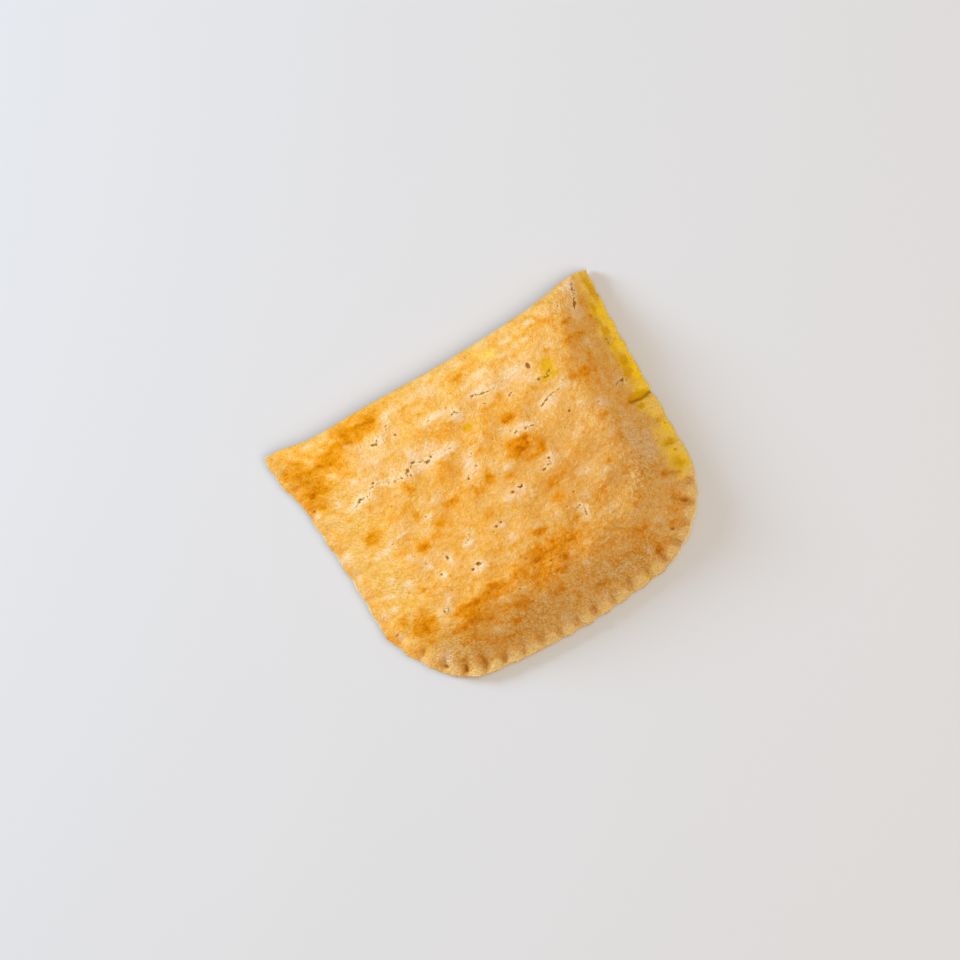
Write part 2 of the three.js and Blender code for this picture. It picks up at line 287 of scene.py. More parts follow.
def waves(x, y):
    """Sum over k of sin(2 pi (x cos g k + y sin g k) / L(k) + 1.7 k^2), with g the golden angle."""
    total = 0
    for k in range(WAVES):
        length = WAVE_LENGTH * (1 + 0.17 * math.cos(2.3 * k))
        across = x * math.cos(GOLDEN_ANGLE * k) + y * math.sin(GOLDEN_ANGLE * k)
        total = total + np.sin(2 * math.pi * across / length + 1.7 * k * k)
    return WAVE_HEIGHT * total


def soft_start(distance, width):
    """0 below -width, the distance itself above width, and (distance + width)^2 / (4 width) between them."""
    inside = (np.clip(distance, -width, width) + width) ** 2 / (4 * width)
    return np.where(distance > width, distance, inside)


def pillow(place):
    """edge + (crown - edge) sin(pi/2 s) sqrt(1 - (1 - f)^2), with s the way in from the rim and f the way in
    from the fold."""
    across = ((place.x - CROWN_MIDDLE[0]) / FOLD_HALF_LENGTH) ** 2
    along = ((place.y - CROWN_MIDDLE[1]) / TIP_Y) ** 2
    crown = CROWN_HEIGHT - CROWN_DROP_ACROSS * across - CROWN_DROP_ALONG * along + waves(place.x, place.y)
    for x, y, radius, height in LUMPS:
        crown = crown + height * bell(np.hypot(place.x - x, place.y - y), radius)
    edge = mix(RIM_TOP, FOLD_TOP, place.fold_share)
    foot = mix(RIM_WIDTH, RIM_WIDTH_AT_FOLD, place.fold_share)
    rim_rise = np.sin(math.pi / 2 * np.clip(soft_start(place.rim - foot, FOOT_SOFTNESS) / RIM_RISE, 0, 1))
    fold_rise = np.sqrt(1 - (1 - np.clip(place.fold / FOLD_RISE, 0, 1)) ** 2)
    rounding = RIM_ROUNDING * np.clip(place.rim / RIM_ROUNDING_WIDTH, 0, 1)
    return edge + rounding + (crown - edge) * rim_rise * fold_rise


def underside(place):
    """edge (1 - sqrt(1 - (1 - s)^2)), with s the way in over UNDERSIDE_ROUND: level, then curving up."""
    edge = mix(RIM_UNDERSIDE, FOLD_UNDERSIDE, place.fold_share)
    inwards = np.clip(np.minimum(place.rim, place.fold) / UNDERSIDE_ROUND, 0, 1)
    return edge * (1 - np.sqrt(1 - (1 - inwards) ** 2))


# %% [markdown]
# ## Unevenness
#
# Dough is never even, so most surfaces get gradient noise: a lattice of random slopes, joined smoothly.
# Layers of it at smaller and smaller scales look like crust. A seed names each layer, so the patty is the
# same every time.

# %% Gradient noise
LATTICE = 64


def noise(x, y, cell, seed):
    """Gradient noise of about -1 to 1: random unit slopes at the corners of square cells, each corner's plane
    (dx, dy).g weighed by the fade 6 f^5 - 15 f^4 + 10 f^3 of the place inside the cell."""
    turn = np.random.default_rng(seed).uniform(0, 2 * math.pi, (LATTICE, LATTICE))
    u, v = np.asarray(x) / cell + 31.7, np.asarray(y) / cell + 17.3
    i, j = np.floor(u).astype(int), np.floor(v).astype(int)
    fu, fv = u - i, v - j
    fade_u, fade_v = (f**3 * (f * (6 * f - 15) + 10) for f in (fu, fv))

    def corner(di, dj):
        g = turn[(i + di) % LATTICE, (j + dj) % LATTICE]
        return np.cos(g) * (fu - di) + np.sin(g) * (fv - dj)

    near = mix(corner(0, 0), corner(1, 0), fade_u)
    far = mix(corner(0, 1), corner(1, 1), fade_u)
    return 1.5 * mix(near, far, fade_v)


def rough(x, y, cell, seed, layers=3):
    """Noise at cell, cell / 2, cell / 4 and so on, each turned by the golden angle and half as strong."""
    total, strength = 0, 1.0
    for layer in range(layers):
        turn = GOLDEN_ANGLE * layer
        u = x * math.cos(turn) - y * math.sin(turn)
        v = x * math.sin(turn) + y * math.cos(turn)
        total = total + strength * noise(u, v, cell / 2**layer, seed + layer)
        strength /= 2
    return total


print("noise at the middle of the patty:", round(float(noise(0, 0, 5.0, 1)), 2))

# %% [markdown]
# ## Where things are on the crust
#
# Marks on the crust are placed as one would point at them with a ruler: so many millimetres along from the
# left end of the fold, and so many forward from the fold towards the front. A mark is a soft oval: place,
# half length along, half width forward, and strength. They are wobbled by noise afterwards, so no oval shows
# as an oval.

# %% The ruler and soft marks
RULER_X = -65.8
RULER_Y = 54.7


def on_crust(along, forward):
    """The ruler's reading as x and y."""
    return RULER_X + along, RULER_Y - forward


def marks(along, forward, ovals, power=2.0):
    """1 - product over the ovals of (1 - s exp(-(r)^power)), with r the distance in half axes."""
    left = np.ones(np.shape(along))
    for a, f, half_length, half_width, strength in ovals:
        r = np.hypot((along - a) / half_length, (forward - f) / half_width)
        left *= 1 - strength * np.exp(-(r**power))
    return 1 - left


print("the ruler's zero, x and y in mm:", on_crust(0, 0))

# %% [markdown]
# ## Browned patches
#
# The crust browns first on the high places and round the steam cracks. A texture of spots would scatter
# them evenly, and on the real crust they aren't, so they are listed one by one, the darkest with strength
# 1.

# %% Browned patches
BROWNED = [
    (20, 13, 19, 9, 0.38), (42, 86, 20, 9, 0.4), (68, 84, 15, 9, 0.5), (90, 76, 14, 14, 0.3),
    (92, 58, 12, 7, 0.2), (72, 60, 18, 14, 0.12), (14, 78, 8, 8, 0.25), (112, 30, 8, 9, 0.25),
    (82, 42, 8, 6, 0.35), (106, 94, 12, 6, 0.3), (34, 7, 13, 5, 0.62), (9, 18, 9, 10, 0.3),
    (29, 9.5, 5, 3, 0.6), (19, 13, 3, 3, 0.7), (15, 13.5, 1.6, 1.4, 0.6), (8, 20, 7, 5.5, 0.42),
    (4, 24, 2, 3, 0.42), (8, 27, 2, 2.8, 0.25), (7, 9, 6, 4, 0.4), (2.6, 9.3, 2, 1.8, 0.8),
    (18, 84, 7, 5, 0.3), (28, 93, 12, 7, 0.3), (59, 25, 5.2, 4.2, 0.42), (51, 10, 2.6, 1.4, 0.5),
    (55.5, 36.8, 5, 4.2, 0.25), (51, 36, 3, 3, 0.3), (38.5, 36.5, 1.9, 2.5, 0.6), (31, 35, 3, 1.8, 0.35),
    (28, 42, 4, 1.8, 0.35), (18, 44.5, 4, 3.4, 0.75), (37, 45, 4.5, 1.6, 0.35), (49, 47.5, 4, 2.2, 0.75),
    (42, 52, 3, 2.6, 0.7), (61, 48.5, 4.5, 2.2, 0.55), (65.5, 47, 1.8, 2.2, 0.7), (32.5, 56, 2.4, 2.2, 0.9),
    (38, 55.5, 2.5, 1.8, 0.5), (71.5, 32, 1.4, 1.2, 0.5), (74, 28.5, 3, 2, 0.45), (82, 31.7, 3.2, 2.2, 0.7),
    (79, 24.5, 5, 2.4, 0.5), (92, 28, 6, 1.5, 0.3), (67, 37, 2.6, 2.2, 0.45), (79, 44, 3.6, 2.0, 1.0),
    (79.5, 43.5, 2.0, 1.2, 0.9), (78.5, 40.3, 3, 1.5, 0.8), (83, 40.5, 2.4, 1.8, 0.8),
    (87, 46, 1.5, 3, 0.85), (83.5, 48, 3.4, 1.2, 0.8), (72, 49, 4, 1.1, 0.45), (109, 31, 1.9, 1.6, 0.6),
    (114, 31.7, 3, 2, 0.7), (73, 9.5, 7, 3.2, 0.35), (111, 8.5, 5, 2.4, 0.45), (117, 12.5, 3.4, 1.6, 0.65),
    (100, 9, 7, 1.2, 0.35), (126.5, 14.5, 2.4, 2.2, 0.6), (120, 18.3, 4, 1.6, 0.5), (114.5, 18, 3, 3, 0.5),
    (118, 28, 1.6, 3.4, 0.5), (112, 47.6, 3, 1.3, 0.6), (127.5, 6, 3, 6, 0.35), (115, 53, 3, 2.4, 0.4),
    (57, 58.5, 5, 2.2, 0.4), (25, 69, 2, 1.5, 0.55), (12, 76, 3, 2, 0.4), (20.5, 78.5, 4, 3, 0.45),
    (19.5, 82.5, 3, 2, 0.8), (5.5, 79.5, 2.4, 2, 0.6), (38, 82.6, 8, 1.7, 0.8), (47, 81, 3.4, 1.6, 0.8),
    (34.5, 86, 2.8, 2.8, 0.85), (30, 88.2, 4, 1.2, 0.7), (29, 93.2, 3, 1.3, 0.5), (40, 90, 1.8, 1.1, 0.6),
    (53, 91.5, 4.4, 2.4, 0.7), (49, 96, 4, 2, 0.4), (43, 99.5, 4, 1.4, 0.7), (37.5, 97.5, 2, 2.4, 0.5),
    (66.5, 80, 3.6, 3, 0.95), (75, 79, 8, 3, 0.55), (71, 72.5, 3.2, 1.5, 0.6), (56, 82, 3, 2, 0.3),
    (63, 71, 4, 1, 0.4), (74.6, 84.4, 1.6, 1, 0.9), (66, 94, 4, 3, 0.4), (72, 99.5, 1.8, 1.1, 0.6),
    (81.5, 100, 2.6, 2, 0.8), (83, 64.5, 2.2, 2.2, 0.75), (85, 58.5, 4, 2.2, 0.4), (97, 71, 2.2, 2, 0.5),
    (105, 62.6, 2.6, 1.5, 0.55), (110, 68, 3, 1.5, 0.45), (113, 57.5, 1.5, 3, 0.65),
    (101, 89.5, 5, 1.6, 0.6), (96, 95, 4, 1.3, 0.55), (89, 95.5, 3, 1.6, 0.4), (86, 88.5, 4, 1.6, 0.3),
    (118.5, 91, 3, 3.4, 0.2), (105, 100, 2, 3, 0.6), (115, 74, 4, 1.6, 0.4), (22, 103, 3, 1.4, 0.7),
    (10, 61, 3, 1, 0.3),
]

print(len(BROWNED), "browned patches")

# %% [markdown]
# ## Cream patches
#
# Where the crust blistered early it stayed pale. These patches are smaller and lie mostly round the cracks.

# %% Cream patches
CREAM = [
    (15.5, 4.4, 2.6, 0.9, 0.8), (20, 5.4, 2, 0.7, 0.7), (23, 7.2, 2.6, 0.9, 0.7), (33, 5.5, 1.6, 0.8, 0.7),
    (12.5, 10.2, 1.8, 1.6, 0.9), (17.5, 8, 2.5, 1.2, 0.4), (17, 18, 2.6, 2, 0.6), (44, 9.2, 1.9, 1.6, 1.0),
    (59, 8, 6, 2.4, 0.55), (31, 15, 5, 3.4, 0.6), (38.6, 15.6, 2, 1.8, 0.9), (33, 20.5, 5, 2.6, 0.6),
    (20, 31.5, 4, 1.6, 0.6), (45.2, 25.8, 2.4, 2.8, 0.9), (54, 31, 8, 1.3, 0.9), (44.5, 31.5, 3, 1.4, 0.6),
    (58, 18.2, 6, 1.2, 0.8), (66, 21.5, 2.6, 2.8, 0.9), (14, 27.2, 1.6, 2.4, 0.8),
    (22.5, 23.6, 1.2, 1, 0.7), (26, 25.3, 9, 1.6, 0.5), (4.6, 27.2, 1.2, 1.6, 0.9),
    (6.5, 46, 2.6, 1.7, 1.0), (16, 51.4, 1.2, 1, 0.8), (20.5, 51, 2.8, 1.5, 0.8), (28.5, 48.6, 3, 1, 0.7),
    (40, 47.6, 1.5, 1.3, 0.9), (44, 44, 1.6, 1.1, 0.7), (6.5, 53.5, 1.6, 3, 0.6), (36, 51, 2, 2, 0.4),
    (61.5, 39, 2.6, 3.6, 0.7), (52, 27, 3.2, 2, 0.5), (123.5, 1.6, 5, 1.8, 0.6), (95, 7.5, 2.6, 0.9, 1.0),
    (104.5, 6, 2, 1, 1.0), (101, 10.3, 1.7, 0.7, 0.9), (96.2, 10.7, 1.1, 0.8, 0.9), (91, 11, 2.2, 0.6, 0.9),
    (76, 6, 1.2, 1, 0.6), (79.5, 13.6, 3.4, 2, 0.7), (74, 14.5, 1.8, 1, 0.6), (79, 18, 6, 1.6, 0.7),
    (91, 19.5, 5, 2.8, 0.7), (95, 24, 3, 2, 0.5), (119.5, 22, 1.2, 1.3, 0.9), (121.5, 12.6, 2.2, 1.6, 0.8),
    (108, 16.5, 3.4, 1.4, 0.6), (84.5, 37.3, 5, 1.6, 0.7), (72.5, 46.6, 1.7, 1.4, 0.9),
    (97.5, 35, 3.4, 2, 0.7), (104.5, 31.5, 3, 1.6, 0.5), (106.5, 40, 1.8, 1.6, 0.6),
    (113.2, 44.4, 2, 2, 1.0), (99.5, 50, 1.6, 1.3, 0.7), (110.5, 54.5, 1.2, 2, 0.7),
    (88.5, 52, 2.4, 2, 0.7), (26.5, 57, 1.5, 1.1, 0.9), (31, 63.2, 1.6, 1.2, 0.9),
    (21, 64.8, 1.6, 1.1, 1.0), (12, 65, 1.4, 0.9, 1.0), (14, 66.2, 1, 0.8, 0.9), (12, 70.6, 1.1, 1, 1.0),
    (8.2, 70.5, 1.2, 3.4, 0.6), (16.5, 60.6, 1.2, 1, 0.8), (47, 63.6, 1.6, 1.2, 1.0),
    (61.4, 64, 1.2, 1, 0.7), (39, 66, 2.2, 2, 0.5), (34, 69, 0.9, 0.8, 0.8), (46.6, 73.3, 2.3, 0.9, 1.0),
    (61.8, 70.2, 1.2, 1, 0.8), (57, 73.6, 2.2, 1, 0.5), (28, 79.6, 0.8, 0.8, 1.0), (31.5, 77, 3, 1.4, 0.5),
    (24.8, 80.5, 1.5, 3, 0.5), (27, 84.5, 3, 2, 0.5), (9.2, 81, 1.3, 1.6, 0.9), (46.5, 86.3, 3, 1.3, 0.9),
    (49.2, 88.1, 1.2, 0.8, 0.9), (56.3, 87.6, 1.9, 1.3, 0.7), (35.6, 91.8, 1.2, 1.1, 1.0),
    (40, 95, 3, 1.8, 0.5), (20, 95.5, 2.6, 3, 0.7), (12, 91, 0.9, 3, 0.6), (67.5, 56.5, 2.6, 1, 0.8),
    (74.5, 57, 2.6, 1, 0.8), (71, 57.5, 3, 1, 0.5), (96, 62.3, 3.6, 1, 0.8), (101, 65.5, 3, 1.1, 0.7),
    (92, 69, 1.7, 1.6, 0.6), (88, 73.5, 1.8, 3, 0.5), (79.5, 70.2, 1.5, 2, 0.7), (72, 70, 2, 1, 0.6),
    (97, 77.5, 3.2, 1.2, 0.6), (104, 83, 3.4, 1.5, 0.5), (88.5, 87, 2.2, 0.5, 0.9), (75, 89, 1.6, 1.1, 0.8),
    # The wide patch at 118 along and 60 forward is painted light: it lightens the right flank where it turns
    # away from the low lamp.
    (79.6, 89.5, 2, 1.2, 0.8), (95, 92.5, 2.6, 1, 0.7), (119.5, 67, 2.4, 3, 0.7), (118, 60, 5, 9, 0.5),
    (22, 93, 8, 5, 0.4), (110, 89.5, 1.8, 1.6, 0.5), (101.5, 98.8, 1.6, 1.3, 0.8), (64, 104.5, 3, 1.8, 0.6),
    (79, 104.5, 3, 1.8, 0.6), (110, 92, 3, 3, 0.5), (100, 105.2, 2.8, 1.6, 1.0), (94, 106, 2.8, 1.8, 1.0),
    (90, 99, 4, 1.2, 0.6),
]

print(len(CREAM), "cream patches")

# %% [markdown]
# ## Yellow places
#
# The dough is coloured with turmeric, and its yellow shows where it was covered from the heat or badly
# mixed: in wide soft areas, and in small deep spots.

# %% Yellow areas and spots
# Yellow areas, where the turmeric in the dough shows.
YELLOW = [
    (48, 25, 2, 1.4, 0.25), (86.5, 8.4, 4.2, 2, 0.5), (83, 5.6, 2.4, 1.2, 0.3), (101.5, 23.8, 5, 4, 0.6),
    (128.4, 23.6, 1.8, 2, 0.9), (129.5, 4.5, 3, 4.5, 0.55), (127, 76, 3, 3.2, 1.0),
    (126.5, 70.5, 4.2, 2.8, 0.6), (126.3, 67, 3, 1.4, 0.75), (125.5, 81, 4, 1.8, 0.5),
    (126.5, 62, 4, 4, 0.42), (128, 54, 4, 4, 0.55), (97, 105.5, 6, 2, 0.4),
]

# Spots of turmeric that weren't kneaded in: deep yellow, and a little sunken.
TURMERIC_SPOTS = [
    (67.4, 27.4, 1.8, 1.3, 1.0), (102.2, 23.0, 2.8, 2.6, 1.0), (101, 26, 4.2, 1.3, 1.0),
    (128.4, 12.2, 0.8, 1.6, 0.7), (128.6, 22.4, 1.0, 1.4, 0.8), (126.6, 25.8, 0.6, 1.4, 0.9),
    (125.0, 32.0, 0.8, 2.0, 0.9), (129.2, 34.5, 1.4, 3.0, 0.6), (127.0, 39.4, 2.4, 1.0, 0.6),
    (126.5, 48.0, 4.0, 1.4, 0.9), (125.0, 51.6, 1.6, 1.0, 0.7), (128.2, 71.5, 0.8, 0.7, 0.8),
    (126.5, 76.0, 3.2, 3.0, 0.5), (127.4, 20.0, 1.5, 12.0, 0.45), (127.2, 38.0, 1.5, 8.0, 0.5),
    (131.0, 6.0, 1.8, 8.0, 0.6), (127, 67.6, 3.2, 1.5, 0.6),
]
print(len(YELLOW), "yellow areas and", len(TURMERIC_SPOTS), "spots")

# %% [markdown]
# ## Cracks and pits
#
# While it bakes, steam splits the crust along the fold's direction. Each crack is a dotted line: little
# holes in a row, on a low pale ridge. A crack is a strength and the few places that it runs through. Single
# steam holes are pits: place, half length, half width, depth as a share.

# %% Cracks and pits
CRACKS = [
    (0.8, [(18.5, 32.2), (21.5, 30.4), (25, 30.4), (28.5, 27.7)]),
    (0.7, [(28.5, 27.7), (31.8, 29.3), (35, 30.3), (39.2, 30.9), (41.5, 30.2)]),
    (0.85, [(41.6, 32.4), (41.4, 29.4)]),
    (0.75, [(41.5, 30.2), (44.3, 28.3), (46.2, 29.1), (49.3, 30.8), (51.1, 29.7)]),
    (0.55, [(51.1, 29.7), (56, 30.6), (61.2, 29.8)]),
    (0.45, [(45, 23), (44.8, 26.7), (44.3, 28.3)]),
    (0.4, [(53.5, 19), (57.5, 17.7), (62, 18.3), (64.3, 17.5)]),
    (0.6, [(64.8, 20.1), (67, 20.3), (67.6, 23.3)]),
    (0.65, [(74.6, 18.6), (77, 19.4), (80.3, 19.7), (84.2, 20.3)]),
    (0.5, [(84.2, 20.3), (86.3, 21), (86.4, 23.2)]),
    (0.6, [(85, 25.2), (87.8, 24.1)]),
    (0.55, [(88.2, 19.2), (89.2, 17.8), (91.8, 18), (94.6, 18)]),
    (0.8, [(34.5, 15.2), (36, 16.2), (38.5, 14.3)]),
    (0.5, [(38.5, 14.3), (41.7, 13.4), (43, 10.8), (45, 11)]),
    (0.95, [(96.4, 25), (99, 25.4), (101.6, 25.6), (102.3, 24.6), (103.3, 24.1)]),
    (0.9, [(93.5, 34.8), (95.6, 33.2), (97.5, 32.8), (99, 32), (101, 32)]),
    (0.45, [(101, 32), (104.2, 30.8), (106.2, 28.5)]),
    (0.5, [(98.3, 33.7), (99.6, 34.6)]),
    (0.35, [(106, 30), (108.6, 34.6)]),
    (0.75, [(80.3, 37.6), (83, 36.7), (86.7, 38.2), (88.8, 39)]),
    (0.45, [(87.5, 40), (90.8, 38.9)]),
    (0.6, [(63, 36.7), (64.7, 35.4)]),
    (0.5, [(59.3, 41.6), (58.6, 43.5)]),
    (0.8, [(89.4, 49.8), (87, 51.2), (86.7, 53), (83.4, 54)]),
    (0.5, [(65.5, 56.5), (69.8, 55.3)]),
    (0.75, [(71.8, 54.3), (73.3, 55.1), (74.3, 54.7)]),
    (0.55, [(75.2, 58.8), (76.5, 59.3)]),
    (0.4, [(68.3, 47.3), (69.6, 46.8)]),
    (0.45, [(72.3, 45.8), (73.2, 47.8)]),
    (0.45, [(22.3, 50.3), (24.7, 48.7)]),
    (0.6, [(49.7, 59.2), (48.8, 61.7), (46.8, 62.7), (45.5, 61.5)]),
    (1.0, [(45.8, 70.8), (48.2, 71.8)]),
    (0.4, [(92, 61.6), (94, 60.9), (98, 61.3)]),
    (0.7, [(86, 72), (88, 71.2), (89.2, 73), (88.5, 75.6), (88.9, 77.8)]),
    (1.0, [(121.5, 10.3), (122.8, 8), (123.9, 6), (124.8, 4.3), (125.6, 1)]),
    (0.55, [(115.4, 7.6), (116.5, 6.5), (117.4, 5.3)]),
    (0.3, [(111.5, 7.1), (113.5, 7)]),
    (0.6, [(126.8, 24.8), (126.5, 26.6)]),
    (0.5, [(125.1, 30.5), (124.9, 33)]),
    (0.8, [(121.4, 40.9), (122.8, 40), (124.4, 40.5), (123.4, 41.9)]),
    (0.4, [(101.7, 45), (102, 46), (101.5, 48.5)]),
    (0.5, [(61.2, 69.8), (61.2, 68.8), (62.3, 68.9)]),
    (0.5, [(31, 75.5), (31.6, 75), (32.1, 75.6)]),
    (0.5, [(36.3, 31.8), (36.6, 28.2), (36.2, 26)]),
    (0.4, [(15.5, 33), (17.2, 32), (18.5, 32.2)]),
    (0.45, [(25.4, 33.3), (26.1, 32.4), (26.6, 31.6)]),
    (0.45, [(44.2, 8.5), (47, 8.3), (51, 8.8)]),
    (0.35, [(25.2, 11.6), (27.5, 12.2), (30, 14)]),
    (0.4, [(43.8, 14.2), (44.1, 16.8)]),
    (0.4, [(51.3, 25), (52.1, 26.2)]),
    (0.35, [(60.7, 38.2), (62.6, 39.3), (63.6, 40.8)]),
    (0.4, [(76, 22.5), (78.5, 23.2), (81.5, 22.8)]),
    (0.4, [(68.8, 32.5), (70.2, 33.8)]),
    (0.5, [(76, 34), (78, 34.6), (80.4, 36.2)]),
    (0.4, [(92.6, 52.2), (93.6, 54.3)]),
    (0.35, [(106.4, 47.2), (108.8, 46.6)]),
    (0.3, [(100.3, 64.6), (103.2, 64)]),
    (0.4, [(77.2, 65.4), (78.6, 66.3)]),
    (0.35, [(58.5, 75.4), (60.2, 76.3)]),
    (0.9, [(27.4, 80.6), (26.9, 79.5), (27.6, 78.7)]),
    (0.9, [(28.6, 78.7), (29.2, 79.5), (28.6, 80.7)]),
]
PITS = [
    (97.1, 19.2, 0.8, 1.3, 1.0), (21.5, 30.4, 0.8, 0.5, 0.9), (28.5, 27.6, 0.6, 0.4, 0.9),
    (41.4, 30.0, 0.7, 0.8, 0.9), (44.4, 28.4, 1.0, 0.6, 0.7), (49.3, 30.8, 0.7, 0.6, 0.9),
    (51.0, 29.8, 0.5, 0.5, 0.9), (44.0, 16.7, 0.5, 0.6, 0.8), (30.0, 14.0, 0.4, 0.4, 0.5),
    (2.2, 9.0, 1.3, 0.6, 0.5), (3.6, 16.5, 0.7, 0.5, 0.3), (4.7, 25.6, 0.7, 0.6, 0.5),
    (64.3, 17.5, 0.45, 0.45, 0.7), (74.6, 18.6, 0.7, 0.45, 0.8), (83.4, 16.2, 0.4, 0.35, 0.5),
    (63.3, 40.7, 0.45, 0.45, 0.8), (58.7, 43.4, 0.45, 0.5, 0.9), (47.5, 42.5, 0.4, 0.45, 0.6),
    (38.8, 47.3, 0.45, 0.4, 0.8), (101.7, 40.5, 0.55, 0.45, 0.9), (69.5, 42.5, 0.45, 0.4, 0.5),
    (69.8, 55.3, 0.65, 0.55, 1.0), (73.3, 55.1, 0.9, 0.4, 0.9), (83.5, 54.0, 0.9, 0.55, 0.8),
    (86.9, 51.2, 0.7, 0.45, 0.8), (68.0, 52.7, 0.35, 0.35, 0.5), (30.5, 61.8, 0.4, 0.7, 0.6),
    (38.0, 63.7, 0.5, 0.9, 0.9), (33.2, 67.8, 0.55, 0.6, 0.8), (58.6, 62.9, 0.6, 0.5, 0.9),
    (60.8, 62.4, 0.5, 0.5, 0.8), (43.8, 71.9, 0.65, 0.5, 1.0), (46.4, 71.0, 0.8, 0.5, 1.0),
    (28.0, 57.5, 0.45, 0.4, 0.5), (62.0, 78.0, 0.6, 0.5, 0.5), (63.0, 82.5, 0.6, 0.5, 0.5),
    (8.0, 79.0, 1.1, 0.5, 0.7), (54.7, 86.3, 0.45, 0.45, 0.7), (37.7, 91.8, 0.5, 0.5, 0.6),
    (33.5, 100.6, 0.5, 0.5, 0.8), (18.0, 97.8, 0.6, 0.6, 0.7), (88.5, 66.0, 0.45, 0.4, 0.7),
    (88.0, 71.3, 0.5, 0.4, 0.8), (83.8, 69.5, 0.6, 0.4, 0.5), (69.3, 83.2, 0.8, 0.35, 0.7),
    (112.7, 95.8, 0.5, 0.5, 0.8), (112.3, 42.9, 1.2, 0.4, 0.5), (121.2, 40.7, 0.4, 0.4, 0.6),
    (123.8, 40.6, 1.2, 0.8, 0.5), (128.2, 71.5, 0.4, 0.4, 0.5),
]
# Furrows that run from a dent of the rim into the crust.
FURROWS = [
    (1.4, [(121.4, 48.4), (124.2, 49.4), (127.6, 49.6), (132.6, 48.8)]),
    (0.9, [(118.5, 77), (122.5, 78), (126.5, 79.8)]),
    (0.9, [(118.0, 85.3), (119.6, 87.4), (122.8, 89.6)]),
    (0.8, [(111.8, 94.2), (114, 96.2), (117.4, 97.4)]),
    (0.6, [(105.2, 97.5), (104.9, 103)]),
    (0.8, [(29.6, 98.6), (30.6, 102), (31.3, 106.5)]),
    (0.6, [(22.4, 98.5), (23.8, 103.5)]),
    (0.6, [(15.6, 95), (17.6, 98)]),
    (0.5, [(10.4, 87.4), (12.2, 89.6)]),
    (0.5, [(36.2, 102.5), (36.8, 107)]),
    (0.5, [(89.2, 102), (90.6, 106.5)]),
    (0.45, [(97, 101.5), (97.6, 106)]),
    (0.4, [(52.2, 103.8), (52.6, 107.5)]),
    (0.6, [(124, 57.7), (128.6, 58.6)]),
    (0.35, [(120.8, 41.5), (124.5, 42.2)]),
]
print(len(CRACKS), "cracks,", len(PITS), "pits and", len(FURROWS), "furrows")


def line_field(lines, x, y):
    """The nearest line of all: signed distance to it, and its strength, tapering to its ends as
    min(1, 8 t (1 - t) + 0.4), with t the way along it."""
    distance = np.full(np.shape(x), np.inf)
    strength = np.zeros(np.shape(x))
    for power, places in lines:
        line = np.array([on_crust(*place) for place in places])
        d, t, side = nearest(line, x, y)
        closer = d < np.abs(distance)
        distance = np.where(closer, d * side, distance)
        strength = np.where(closer, power * np.minimum(1, 8 * t * (1 - t) + 0.4), strength)
    return distance, strength


# %% [markdown]
# ## The crimps as relief
#
# All relief is a change of height, worked out for every point of the top. The largest is the row of dents
# pressed into the rim. A bump texture would lie flat when seen from the side, so each dent is real shape: a
# bell across the rim times a bell along it, with a narrow crease in its middle and a puffed pad on either
# side.

# %% Depth of the crimps
# How firmly each dent was pressed, from the left tip: 11 down the left, 15 along the front, 11 up the
# right.
FIRMNESS = [0.7, 0.8, 0.7, 0.9, 0.7, 0.8, 0.9, 0.8, 0.7, 0.9, 1.0, 0.9, 1.1, 1.1, 1.0, 0.8, 0.8, 0.9, 1.0]
FIRMNESS += [1.1, 0.9, 0.8, 0.9, 0.8, 1.1, 0.8, 0.9, 0.9, 0.3, 0.7, 0.9, 0.4, 0.45, 0.35, 0.4, 0.5, 0.4, 0.4]
FIRMNESS_OF_SIDE = 0.55
CRIMP_DEPTH = 1.0
CRIMP_WIDTH = 1.6
CRIMP_MIDDLE = 3.9
CRIMP_REACH = 2.6
CREASE_WIDTH = 0.85
CREASE_DEPTH = 0.5
CREASE_LEAN = 0.35
PAD_HEIGHT = 0.35
PAD_MIDDLE = 3.0
PAD_REACH = 2.4


def crimps(place):
    """Depth of the dents: bell across the rim times bell along it, with a narrow crease in the middle of
    each, less the puffed pads, (1 - cos(2 pi k)) / 2, between them. Returns the depth in mm, and the dents
    and the creases alone, from 0 to 1."""
    number = np.round(place.crimp)
    off = (place.crimp - number) * rim_length / CRIMPS
    lean = CREASE_LEAN * np.sin(5.3 * number) * (place.rim - CRIMP_MIDDLE)
    firmness = np.array(FIRMNESS)[number.astype(int)]
    side = mix(FIRMNESS_OF_SIDE, 1.0, ease(place.crimp, SIDE_CRIMPS - 3, SIDE_CRIMPS))
    clear_of_fold = ease(place.fold, 3, 10)
    reach = bell(place.rim - CRIMP_MIDDLE, CRIMP_REACH)
    share = firmness * side * clear_of_fold
    crease = share * bell(off + lean, CREASE_WIDTH) * reach
    dent = share * bell(off, CRIMP_WIDTH) * reach
    between_dents = 0.5 - 0.5 * np.cos(2 * math.pi * place.crimp)
    puff = side * clear_of_fold * bell(place.rim - PAD_MIDDLE, PAD_REACH) * between_dents
    return CRIMP_DEPTH * dent + CREASE_DEPTH * crease - PAD_HEIGHT * puff, dent, crease


print(f"dents {CRIMP_DEPTH} mm deep, {rim_length / CRIMPS:.1f} mm apart on average")

# %% [markdown]
# ## Blisters
#
# Fat in the dough lifts its skin in hundreds of small blisters. As pieces of their own they would only add
# faces, so each is a smooth rise of the one surface. Their places are drawn from a seeded list of random
# numbers, so that the patty is the same each time.

# %% Blisters
BLISTERS = 620


